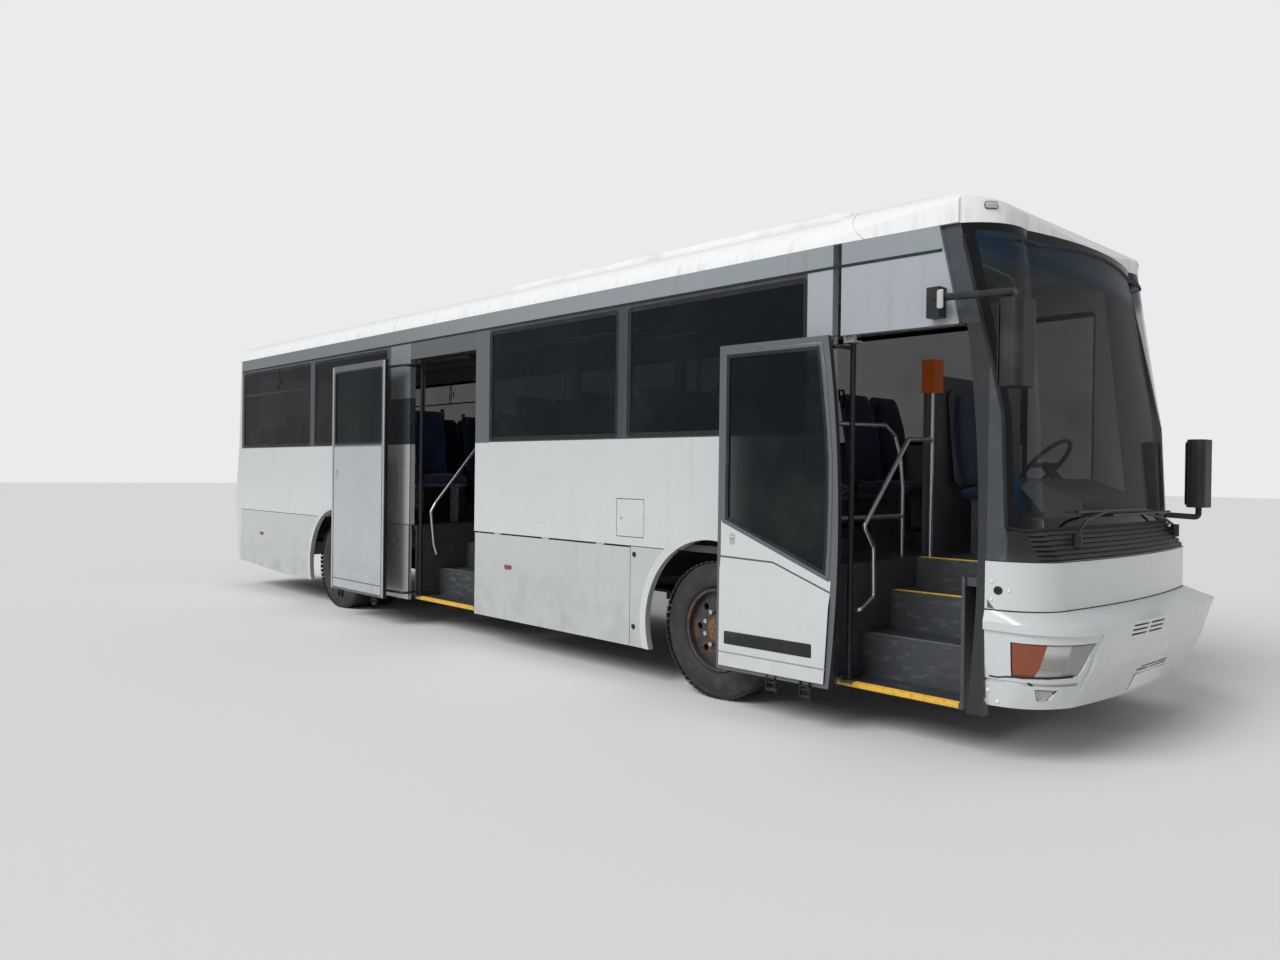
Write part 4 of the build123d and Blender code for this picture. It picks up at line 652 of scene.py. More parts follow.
def merged(name, meshes, body, finish_name, smooth=40):
    """One piece from several meshes."""
    mesh = bmesh.new()
    for data in meshes:
        mesh.from_mesh(data)
        bpy.data.meshes.remove(data)
    for face in mesh.faces:
        face.material_index = 0
    return finished(name, poured(mesh, name), body, finish_name, smooth)


def plates(name, body, finish_name, outlines, place, heights, bevel=0.0):
    """One piece of plates between two heights over a surface."""
    piece = Piece()
    for outline in outlines:
        piece.plate(outline, place, *heights)
    piece.done(name, body, finish_name, bevel=bevel)


def borders(name, body, finish_name, pairs, place, heights, bevel=0.0):
    """One piece of borders, each between an outer and an inner outline."""
    piece = Piece()
    for outer, inner in pairs:
        piece.border(outer, inner, place, heights)
    piece.done(name, body, finish_name, bevel=bevel)


def rectangle(s0, s1, z0, z1):
    return [(s0, z0), (s1, z0), (s1, z1), (s0, z1)]


def rounded_rectangle(s0, s1, z0, z1, corner, steps=6):
    """(station, height) points round a rectangle with rounded corners."""
    points = []
    for cs, cz, start in (
        (s1 - corner, z1 - corner, 0),
        (s0 + corner, z1 - corner, 90),
        (s0 + corner, z0 + corner, 180),
        (s1 - corner, z0 + corner, 270),
    ):
        for k in range(steps + 1):
            angle = math.radians(start + 90 * k / steps)
            points.append((cs + corner * math.cos(angle), cz + corner * math.sin(angle)))
    return points


def inset(outline, by):
    """An outline drawn in towards its middle by about the same width all round."""
    middle = Vector((sum(u for u, _ in outline), sum(v for _, v in outline))) / len(outline)
    drawn = []
    for k, point in enumerate(outline):
        here = Vector(point)
        before, after = Vector(outline[k - 1]), Vector(outline[(k + 1) % len(outline)])
        turned = []
        for way in ((here - before).normalized(), (after - here).normalized()):
            aside = Vector((-way.y, way.x))
            turned.append(aside if aside.dot(middle - here) > 0 else -aside)
        corner = (turned[0] + turned[1]).normalized()
        drawn.append(tuple(here + corner * (by / max(0.5, corner.dot(turned[0])))))
    return drawn


def on_side(side, shift=(0, 0)):
    """A place on a side, or on a panel held out from it and shifted back, from station, height and rise."""
    out, back = shift
    return lambda s, z, rise: at(side * (half_width(s) + out + rise), s + back, z)


TREES = {}


def surface(node):
    """A CAD node's surface, ready for nearest places and rays."""
    if node not in TREES:
        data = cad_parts[node].data
        TREES[node] = BVHTree.FromPolygons([v.co for v in data.vertices], [f.vertices for f in data.polygons])
    return TREES[node]


def on_node(node, x, station, z):
    """The nearest place on a CAD node's surface and the way out of it."""
    place, way, _, _ = surface(node).find_nearest(at(x, station, z))
    return place, way


# Geometry Nodes for what repeats


class NodeRule(Board):
    """A geometry node tree with named inputs."""

    def __init__(self, name, inputs):
        super().__init__(bpy.data.node_groups.new(name, "GeometryNodeTree"))
        self.kinds = {}
        for label, (kind, default) in {**inputs, "Finish": ("Material", None)}.items():
            kind = "NodeSocket" + kind
            socket = self.tree.interface.new_socket(name=label, in_out="INPUT", socket_type=kind)
            if default is not None:
                socket.default_value = default
            self.kinds[label] = socket.identifier
        self.tree.interface.new_socket(name="Geometry", in_out="OUTPUT", socket_type="NodeSocketGeometry")
        self.source = self.tree.nodes.new("NodeGroupInput")

    def given(self, label):
        return Wire(self, self.source.outputs[label])

    def end(self, geometry):
        whole = self.node("GeometryNodeRealizeInstances", {}, {0: geometry})
        dressed = self.node("GeometryNodeSetMaterial", {}, {0: whole, "Material": self.given("Finish")})
        output = self.tree.nodes.new("NodeGroupOutput")
        self.tree.links.new(dressed.socket, output.inputs[0])

    def run(self, name, values, base=None):
        """Runs the tree on a host and returns the result as a plain mesh."""
        host = bpy.data.objects.new(name + "_host", base or bpy.data.meshes.new(name + "_host"))
        bpy.context.scene.collection.objects.link(host)
        modifier = host.modifiers.new(name, "NODES")
        modifier.node_group = self.tree
        for label, value in values.items():
            modifier[self.kinds[label]] = material(value) if label == "Finish" else value
        host.update_tag()
        graph = bpy.context.evaluated_depsgraph_get()
        data = bpy.data.meshes.new_from_object(host.evaluated_get(graph))
        bpy.data.objects.remove(host)
        return data


def ring_rule():
    """Prisms set round a circle that lies across the wheel's axle: nuts or tread blocks."""
    rule = NodeRule(
        "prisms_round_axle",
        {
            "Count": ("Int", 10),
            "Radius": ("Float", 0.1),
            "Centre": ("Vector", None),
            "Size": ("Vector", None),
            "Turn": ("Float", 0.0),
            "Skew": ("Float", 0.0),
            "Blocks": ("Bool", False),
        },
    )
    count = rule.given("Count")
    circle = rule.node("GeometryNodeMeshCircle", {}, {"Vertices": count, "Radius": rule.given("Radius")})
    nut = rule.node("GeometryNodeMeshCylinder", {}, {"Vertices": 6, "Radius": 1.0, "Depth": 1.0})
    block = rule.node("GeometryNodeMeshCube", {}, {"Size": (1.0, 1.0, 1.0)})
    choice = {"Switch": rule.given("Blocks"), "False": nut, "True": block}
    prism = rule.node("GeometryNodeSwitch", {"input_type": "GEOMETRY"}, choice)
    step = (rule.node("GeometryNodeInputIndex") * (2 * math.pi)) / count
    skewed = rule.node("ShaderNodeCombineXYZ", {}, {"Z": step, "X": rule.given("Skew")})
    sockets = {"Points": circle, "Instance": prism, "Rotation": skewed, "Scale": rule.given("Size")}
    placed = rule.node("GeometryNodeInstanceOnPoints", {}, sockets)
    spin = rule.node("ShaderNodeCombineXYZ", {}, {"X": rule.given("Turn"), "Y": math.pi / 2})
    whole = rule.node("GeometryNodeRealizeInstances", {}, {0: placed})
    sockets = {0: whole, "Translation": rule.given("Centre"), "Rotation": spin}
    rule.end(rule.node("GeometryNodeTransform", {}, sockets))
    return rule


def rib_rule():
    """A rounded rib drawn along each edge chain of the host mesh."""
    rule = NodeRule("ribs_along_lines", {"Geometry": ("Geometry", None), "Width": ("Float", 0.01)})
    curve = rule.node("GeometryNodeMeshToCurve", {}, {0: rule.given("Geometry")})
    sockets = {"Resolution": 8, "Radius": rule.given("Width")}
    circle = rule.node("GeometryNodeCurvePrimitiveCircle", {}, sockets)
    sockets = {"Curve": curve, "Profile Curve": circle, "Fill Caps": True}
    rule.end(rule.node("GeometryNodeCurveToMesh", {}, sockets))
    return rule


RULE_MAKERS = {"ring": ring_rule, "ribs": rib_rule}
RULES = {}


def rule_named(name):
    if name not in RULES:
        RULES[name] = RULE_MAKERS[name]()
    return RULES[name]


def ribs(name, body, finish_name, width, chains):
    """Round strips along chains of points, as one piece."""
    lines = bpy.data.meshes.new(name)
    points, edges = [], []
    for chain in chains:
        first = len(points)
        points += [tuple(p) for p in chain]
        edges += [(first + i, first + i + 1) for i in range(len(chain) - 1)]
    lines.from_pydata(points, edges, [])
    data = rule_named("ribs").run(name, {"Width": width, "Finish": finish_name}, lines)
    merged(name, [data], body, finish_name)


# Settings


def colour_setting(name, description, default):
    return bpy.props.FloatVectorProperty(
        name=name, description=description, subtype="COLOR", size=3, default=default, min=0, max=1
    )


def number_setting(name, description, default, low, high, kind="Float", **more):
    make = getattr(bpy.props, kind + "Property")
    return make(name=name, description=description, default=default, min=low, max=high, **more)


class BusColours(bpy.types.PropertyGroup):
    silver: colour_setting("Silver", "Paint below the waist", (0.60, 0.62, 0.625))
    skirt: colour_setting("Skirts", "Paint of the skirt panels", (0.50, 0.52, 0.525))
    band: colour_setting("Window band", "Paint between the windows", (0.045, 0.053, 0.062))
    cantrail: colour_setting("Cantrail", "Grey band over the gutter", (0.29, 0.32, 0.34))
    header: colour_setting("Header", "Panels over and behind the front door", (0.38, 0.41, 0.44))
    pillar: colour_setting("Front pillars", "Paint round the windscreen", (0.045, 0.054, 0.065))
    roof: colour_setting("Roof", "Roof and dome paint", (0.80, 0.805, 0.80))


class BusTrim(bpy.types.PropertyGroup):
    gasket: number_setting("Window rubber", "Width of the windows' border", 0.034, 0.005, 0.08, unit="LENGTH")
    gutter: number_setting("Gutter", "Height of the rubber gutter strip", 0.016, 0.004, 0.05, unit="LENGTH")
    nuts: number_setting("Wheel nuts", "Nuts on each wheel", 10, 5, 12, "Int")
    blocks: number_setting("Tread blocks", "Blocks round each tyre shoulder", 60, 20, 120, "Int")


class BusStage(bpy.types.PropertyGroup):
    lens: number_setting("Lens", "Camera lens", 26.72, 10, 200, unit="CAMERA")
    fill: number_setting("Fill light", "Strength of the light from all round", 0.47, 0, 3)
    key: number_setting("Key light", "Strength of the soft sun", 2.3, 0, 10)


# Finishes of the CAD nodes that have only one
NODE_FINISHES = {
    "window_glass": ("side_glass", "front_door_glass", "mid_door_glass"),
    "screen_glass": ("windscreen",),
    "roof_paint": ("roof_pod",),
    "silver_paint": ("engine_hatch", "fuel_flap", "arch_lips"),
    "lining": ("ceiling",),
    "black_plastic": ("louvre", "mirrors"),
    "black_steel": ("front_door_arm", "mid_door_arm", "wipers"),
    "bare_steel": ("saloon_frames", "handrail_left", "handrail_right", "grab_rails"),
    "chassis_black": ("chassis_frame", "front_axle", "rear_axle", "tie_rod"),
    "cast_iron": ("knuckle_left", "knuckle_right", "engine"),
    "wheel_steel": ("front_rim_left", "front_rim_right", "rear_rims_left", "rear_rims_right"),
}


def inward(place, way):
    """Whether a face of the shell looks into the bus."""
    return place.x * way.x < -0.4 * abs(place.x) or (way.z < -0.5 and place.z > 2900)


def backward(place, way):
    return way.y > 0.5


def outer_frame(place, way):
    return way.x < -0.9


def raised(face_x):
    """A test for faces that stand proud of a leaf's outer face."""
    return lambda place, way: way.x < -0.2 and place.x < -face_x(place.y) - 1.5


def front_leaf_x(station):
    return half_width(station - FRONT_LEAF_SHIFT[1]) + FRONT_LEAF_SHIFT[0]


# CAD nodes with more than one finish. A later test that holds wins. Places are in millimetres.
PLACED_FINISHES = {
    **dict.fromkeys(("wall_left", "wall_right"), ("side_paint", ("lining", inward))),
    "rear_wall": ("rear_paint", ("lining", lambda place, way: way.y < -0.5)),
    **dict.fromkeys(("roof", "front_dome"), ("roof_paint", ("lining", inward))),
    **dict.fromkeys(("skirts", "luggage_flap"), ("skirt_paint", ("chassis_black", inward))),
    **dict.fromkeys(("bumper", "front_panel"), ("silver_paint", ("chassis_black", backward))),
    "screen_frame": ("pillar_paint", ("grey_plastic", inward)),
    "front_door_leaf": (
        "black_plastic",
        ("frame_grey", outer_frame),
        ("silver_paint", raised(front_leaf_x)),
    ),
    "mid_door_leaf": (
        "black_plastic",
        ("frame_grey", outer_frame),
        ("leaf_silver", raised(lambda station: MID_LEAF_X)),
    ),
    "lamps": (
        "clear_lens",
        ("amber_lens", lambda place, way: place.y < 1000 and abs(place.x) > 1140),
        ("red_lens", lambda place, way: place.y > 1000),
        ("amber_lens", lambda place, way: place.y > 1000 and 1337 < place.z < 1492),
        ("clear_lens", lambda place, way: place.y > 1000 and place.z > 1495),
    ),
    "dashboard": (
        "grey_plastic",
        ("orange_plastic", lambda place, way: place.z > 2130 and place.x < 0),
        ("blue_plastic", lambda place, way: -62 < place.x < 232 and 960 < place.y < 1155),
        ("black_plastic", lambda place, way: place.z > 1475 and place.x > 300 and 830 < place.y < 1300),
        ("screen_grey", lambda place, way: place.y > 1650),
    ),
    "floor": (
        "floor_vinyl",
        ("step_sides", lambda place, way: abs(way.z) < 0.3),
        ("chassis_black", lambda place, way: way.z < -0.5 and place.z < 1100),
    ),
}


class BUS_OT_node_finishes(bpy.types.Operator):
    """Gives each carried-over CAD node its finish"""

    bl_idname = "bus.node_finishes"
    bl_label = "Panel and frame finishes"

    def execute(self, context):
        for wanted, nodes in NODE_FINISHES.items():
            for node in nodes:
                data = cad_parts[node].data
                data.materials.clear()
                data.materials.append(material(wanted))
        for node, (plain, *tests) in PLACED_FINISHES.items():
            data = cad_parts[node].data
            data.materials.clear()
            for wanted in (plain, *(wanted for wanted, _ in tests)):
                data.materials.append(material(wanted))
            for face in data.polygons:
                x, y, z = face.center * 1000
                place = Vector((x, y + LENGTH / 2, z))
                held = [k + 1 for k, (_, test) in enumerate(tests) if test(place, face.normal)]
                face.material_index = held[-1] if held else 0
        return {"FINISHED"}


class BUS_OT_window_rubbers(bpy.types.Operator):
    """Black borders round the side windows"""

    bl_idname = "bus.window_rubbers"
    bl_label = "Window rubbers"

    def execute(self, context):
        wide = context.scene.bus_trim.gasket * 1000
        for name, side, windows in (("left", 1, LEFT_WINDOWS), ("right", -1, RIGHT_WINDOWS)):
            outers = [inset(rounded_rectangle(*window, WINDOW_CORNER), 0.5) for window in windows]
            pairs = [(outer, inset(outer, wide)) for outer in outers]
            borders(f"window_rubbers_{name}", "body", "rubber", pairs, on_side(side), (-8, -1.5, -4, -8))
        return {"FINISHED"}


class BUS_OT_gutters(bpy.types.Operator):
    """The rubber gutter strip over each side's windows"""

    bl_idname = "bus.gutters"
    bl_label = "Gutters"

    def execute(self, context):
        high = context.scene.bus_trim.gutter / 2
        section = [(-0.004, -high), (0.004, -high), (0.007, 0.0), (0.004, high), (-0.004, high)]
        for name, side, start in (("left", 1, 860), ("right", -1, 850)):
            stations = [start, TAPER_END, 3000, 6000, 9000, 10990]
            path = [at(side * (half_width(s) + 0.5), s, GUTTER) for s in stations]
            if side > 0:
                path.reverse()
            piece = Piece()
            piece.sweep(path, section)
            piece.done(f"gutter_{name}", "body", "rubber", smooth=60)
        return {"FINISHED"}


# Tyre columns: distance out from the tyre's middle, radius
TYRE_OUTLINE = (
    (95, 292), (118, 300), (126, 318), (133, 345), (135, 372), (133, 398), (126, 424),
    (123, 432), (126, 440), (120, 458), (108, 469), (90, 473.5),
)
TYRE_BORE = ((-60, 320), (60, 320))
TREAD_CROWN = 474.5
GROOVES = (62, 21)
GROOVE_DEEP = 12
# Half widths of a groove at the crown and at its floor
GROOVE_HALVES = (6, 4)
# Shoulder blocks: distance out from the tyre's middle, radius and size
BLOCK_OUT = 98
BLOCK_RADIUS = 473
BLOCK_SIZE = (11, 39, 36)
# In radians: how far a ring of blocks leans from the tyre's middle plane, and a block's slant
BLOCK_TURN = 0.05
BLOCK_SKEW = 0.18
NUT_CIRCLE = 140
NUT_SIZE = (17, 17, 26)
# A hub cap's outline: share of its length, radius in metres
HUB_CAP = ((0, 0), (0, 0.098), (0.45, 0.09), (0.5, 0.082), (0.9, 0.078), (1, 0.062), (1, 0))
CAP_BOLTS = 8
CAP_BOLT_CIRCLE = 0.048

# Columns: body, CAD tyre node, side, axle's station, x of the tyres' middles, of the disc and of the hub
FRONT_WHEEL = (2540, (1060,), 1128, 1190)
REAR_WHEEL = (8220, (1062, 750), 980, 1120)
WHEELS = (
    ("front_wheel_left", "front_tyre_left", 1, *FRONT_WHEEL),
    ("front_wheel_right", "front_tyre_right", -1, *FRONT_WHEEL),
    ("rear_wheels_left", "rear_tyres_left", 1, *REAR_WHEEL),
    ("rear_wheels_right", "rear_tyres_right", -1, *REAR_WHEEL),
)


def tyre_profile():
    """The closed outline of a tyre, with four grooves round its tread."""
    right = list(TYRE_OUTLINE)
    crown, floor = TREAD_CROWN, TREAD_CROWN - GROOVE_DEEP
    wide, narrow = GROOVE_HALVES
    for middle in GROOVES:
        right += [(middle + wide, crown), (middle + narrow, floor)]
        right += [(middle - narrow, floor), (middle - wide, crown)]
    left = [(-out, radius) for out, radius in reversed(right)]
    return [(mm(out), mm(radius)) for out, radius in (*right, *left, *TYRE_BORE)]


class BUS_OT_tyres(bpy.types.Operator):
    """Tyres with grooves, shoulder blocks and beads"""

    bl_idname = "bus.tyres"
    bl_label = "Tyres"

    def execute(self, context):
        for body, node, side, station, middles, _, _ in WHEELS:
            piece = Piece()
            for x in middles:
                piece.lathe(tyre_profile(), at(side * x, station, WHEEL_R), steps=96)
            name = node.replace("tyre", "tyre_carcass")
            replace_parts(piece.done(name, body, "tyre_rubber", smooth=50, slot="tyre"), node)
            meshes = []
            for x in middles:
                for row in (-1, 1):
                    values = {
                        "Count": context.scene.bus_trim.blocks,
                        "Radius": mm(BLOCK_RADIUS),
                        "Centre": at(side * x + row * BLOCK_OUT, station, WHEEL_R),
                        "Size": [mm(side_length) for side_length in BLOCK_SIZE],
                        "Turn": BLOCK_TURN * row,
                        "Skew": BLOCK_SKEW * row,
                        "Blocks": True,
                        "Finish": "tyre_rubber",
                    }
                    meshes.append(rule_named("ring").run("tread", values))
            merged(node.replace("tyre", "tread_blocks"), meshes, body, "tyre_rubber")
        return {"FINISHED"}


class BUS_OT_wheel_nuts(bpy.types.Operator):
    """Hub caps and nuts"""

    bl_idname = "bus.wheel_nuts"
    bl_label = "Hubs and nuts"

    def execute(self, context):
        for body, _, side, station, _, disc_x, hub_x in WHEELS:
            centre = at(side * disc_x, station, WHEEL_R)
            values = {
                "Count": context.scene.bus_trim.nuts,
                "Radius": mm(NUT_CIRCLE),
                "Centre": centre + Vector((side * 0.012, 0, 0)),
                "Size": [mm(side_length) for side_length in NUT_SIZE],
                "Finish": "bare_steel",
            }
            nuts = rule_named("ring").run("nuts", values)
            merged(f"{body}_nuts", [nuts], body, "bare_steel", smooth=25)
            piece = Piece()
            out = mm(hub_x - disc_x)
            cap = [(out * share, radius) for share, radius in HUB_CAP]
            piece.lathe(cap, centre, (side, 0, 0), 40)
            for k in range(CAP_BOLTS):
                turn = 2 * math.pi * k / CAP_BOLTS
                aside, rise = CAP_BOLT_CIRCLE * math.cos(turn), CAP_BOLT_CIRCLE * math.sin(turn)
                piece.knob(centre + Vector((side * out, aside, rise)), (side, 0, 0), 0.006, 0.008, steps=6)
            piece.done(f"{body}_hub", body, "hub_rust")
        return {"FINISHED"}


# The front leaf's outline and its glass, closed: station, height
FRONT_LEAF = (
    (682, 285), (1545, 285), (1545, 2405), (716, 2405), (680, 2050), (640, 1700), (632, 1450), (640, 1100),
    (655, 700),
)
FRONT_GLASS = (
    (718, 975), (1475, 1272), (1475, 2335), (782, 2335), (751, 2100), (722, 1850), (706, 1650), (705, 1400),
    (709, 1150),
)
MID_LEAF = (6695, 7840, 285, 2655)
MID_GLASS = (6765, 7770, 1830, 2585)
# The dark strip near the front leaf's foot, with its corners' radius
LEAF_STRIP = (795, 1469, 457, 541, 8)
# Lock columns: leaf, its plate with the corner's radius, then station, height, rise and radius of each head
DOOR_LOCKS = (
    ("mid_door", (7700, 7760, 1470, 1560, 12), ((7730, 1540, 0.012, 0.014), (7730, 1492, 0.006, 0.009))),
    ("front_door", (1400, 1440, 1110, 1180, 12), ((1420, 1150, 0.008, 0.011),)),
)
LEAF_FOOT = 285
# Foot guide columns: body, stations along the foot, x of its face
DOOR_FEET = (("front_door", (1620, 1880), 1395), ("mid_door", (6900, 7640), 1470))
# A foot guide's cheek and its pins: distance out, height over the leaf's foot
FOOT_CHEEK = ((-12, 20), (22, 20), (22, -50), (12, -88), (-6, -88), (-12, -50))
FOOT_PINS = (-26, -68)


def mid_leaf(s, z, rise):
    """A place on the middle leaf's outer face."""
    return at(-MID_LEAF_X - rise, s, z)


class BUS_OT_door_trim(bpy.types.Operator):
    """Frames, rubbers, blank strip, locks and foot guides of both leaves"""

    bl_idname = "bus.door_trim"
    bl_label = "Door leaf trim"

    def execute(self, context):
        leaf = on_side(-1, FRONT_LEAF_SHIFT)
        s0, s1, z0, z1 = MID_LEAF
        edges = (("front_door", leaf, FRONT_LEAF, -11), ("mid_door", mid_leaf, rectangle(*MID_LEAF), -12))
        for body, place, outline, rise in edges:
            edge = [place(s, z, rise) for s, z in inset(outline, 6)]
            ribs(f"{body}_edge", body, "rubber", 0.009, [[*edge, edge[0]]])
        rim = inset(FRONT_GLASS, -9)
        frame = [(inset(FRONT_GLASS, -34), rim)]
        heights = (-1, 4.5, 4.5, -1)
        borders("front_door_window_frame", "front_door", "frame_grey", frame, leaf, heights, bevel=0.0015)
        pane = rounded_rectangle(*MID_GLASS, 30)
        for body, place, pair in (
            ("front_door", leaf, (rim, inset(FRONT_GLASS, 13))),
            ("mid_door", mid_leaf, (inset(pane, -8), inset(pane, 12))),
        ):
            borders(f"{body}_window_rubber", body, "rubber", [pair], place, (-7, 4, 1, -7))
        trims = [rectangle(s - 16, s + 16, z0 + 8, z1 - 8) for s in (s0 + 22, s1 - 22)]
        plates("mid_door_edge_trims", "mid_door", "aluminium", trims, mid_leaf, (-1, 5), bevel=0.002)
        strip = rounded_rectangle(*LEAF_STRIP)
        plates("front_door_strip", "front_door", "black_plastic", [strip], leaf, (12, 17), bevel=0.001)
        for (body, cover, heads), place in zip(DOOR_LOCKS, (mid_leaf, leaf)):
            piece = Piece()
            piece.plate(rounded_rectangle(*cover), place, 2, 7)
            for s, z, high, radius in heads:
                piece.knob(place(s, z, 7), (-1, 0, 0), high, radius)
            piece.done(f"{body}_lock", body, "aluminium")
        pin = [(-0.044, 0), (-0.044, 0.011), (0.044, 0.011), (0.044, 0)]
        for body, stations, x in DOOR_FEET:
            piece = Piece()
            for s in stations:
                for edge in (s - 38, s + 30):
                    cheek = [at(-x + out, edge, LEAF_FOOT + rise) for out, rise in FOOT_CHEEK]
                    piece.prism(cheek, (0, 0.008, 0))
                piece.box(at(-x - 12, s - 38, LEAF_FOOT - 6), at(-x + 22, s + 38, LEAF_FOOT + 4))
                for rise in FOOT_PINS:
                    piece.lathe(pin, at(-x + 4, s, LEAF_FOOT + rise), (0, 1, 0), 16)
            piece.done(f"{body}_foot_guides", body, "black_steel", bevel=0.002)
        return {"FINISHED"}


def from_front(nodes, x, z, rear=600):
    """The first place on CAD nodes that a line from the front meets, or one on the side at a station."""
    beside, _ = on_node(nodes[-1], math.copysign(1300, x), rear, z)
    hits = [surface(node).ray_cast(at(x, -300, z), Vector((0, 1, 0)))[0] for node in nodes]
    hits = [hit for hit in hits if hit and hit.y < at(0, rear, 0).y]
    return min(hits, key=lambda place: place.y) if hits else beside


def subdivided(corners, longest):
    """Corners joined by points no further apart than a length."""
    points = []
    for first, second in zip(corners, corners[1:]):
        first, second = Vector(first), Vector(second)
        count = max(1, math.ceil((second - first).length / longest))
        points += [first.lerp(second, k / count) for k in range(count)]
    return [*points, Vector(corners[-1])]


def round_front(node, z, rear, rise=0.0):
    """Points at one height round a front node, from one side to the other."""
    route = [(1400, rear + 80), (1400, rear - 40), (1360, 200), (1280, 60), (1160, -60)]
    route += [(x, -150) for x in (700, 450, 200, 0)]
    route += [(-x, s) for x, s in reversed(route[:-1])]
    points = []
    for x, s in subdivided(route, 45):
        place, way = on_node(node, x, s, z)
        points.append(place + way * mm(rise))
    return points


def bumper_face(x, z, rise):
    """A place on the bumper's lower front, which leans back towards its foot and bows out at its middle."""
    return at(x, 160 - 0.435 * (z - 330) + x * x / 11978 - rise, z)


# Lamp outlines from the front, as x and z, and the station where each ends on the side
LAMP_EDGES = (
    (((1250, 502), (960, 522), (906, 698), (1250, 688), (1250, 502)), 430),
    (((1160, 374), (1050, 386), (1036, 439), (1160, 444), (1160, 374)), 330),
)
# Studs and bolts on the front corners: node, x, station, z, radius
CORNER_HEADS = (
    ("front_panel", 1204, 529, 1007, 8),
    ("front_panel", 1177, 430, 961, 8),
    ("front_panel", 1204, 531, 910, 8),
    ("bumper", 1205, 560, 405, 11),
    ("bumper", 1175, 500, 350, 11),
    ("bumper", 1205, 575, 345, 11),
)
# The outline of a corner notch, as station and height, where a dark plate paints its shade
CORNER_NOTCH = ((556, 862), (500, 858), (556, 905))
# Turned outlines in metres, along and out
SOCKET = (
    (-0.004, 0), (-0.004, 0.023), (0.004, 0.023), (0.006, 0.019),
    (0.001, 0.016), (0.001, 0.007), (0.004, 0.005), (0.004, 0),
)
FOG_LAMP = ((-0.012, 0), (-0.012, 0.030), (0.004, 0.032), (0.004, 0.027), (-0.002, 0.020), (0.001, 0))
# The way round the windscreen on which its rubber lies: x, station, z
SCREEN_LOOP = (
    *((x, -100 + abs(x) * 0.35, 1283) for x in range(-1150, 1151, 50)),
    *((1400, 700, z) for z in range(1290, 2911, 60)),
    *((x, 0, 2974) for x in range(1150, -1151, -50)),
    *((-1400, 700, z) for z in range(2910, 1289, -60)),
)
# Gaps round the nose: name, height, width
NOSE_GAPS = (("brow_gap", 852, 0.004), ("louvre_gap", 1117, 0.003))
# The bumper's groove: height, and how far from the middle its trim starts, in metres
GROOVE_Z = 471
GROOVE_START = 0.95
SOCKET_PLACE = (-1300, 484, 959)
# Fog lamps: x, height and the way they look on the left side
FOG_LAMP_PLACE = (1085, 412)
FOG_LAMP_WAY = (0.5, -0.85, -0.1)
# The blank plate and its cover: x from and to, height from and to
PLATE = (-302, 174, 352, 448)
PLATE_COVER = (-565, -106, 379, 488)
# Slits over the plate, black strips whose darkness paints the shade in two grooves: height of the foot, x of
# the start
PLATE_SLITS = ((470, -300), (488, -260))
# Dome lamps: x and station of the middle, and what each loses over a length along the lamp
DOME_LAMP_PLACE = (1135, 560)
DOME_LAMP_SLANT = (0.5, 0.8)


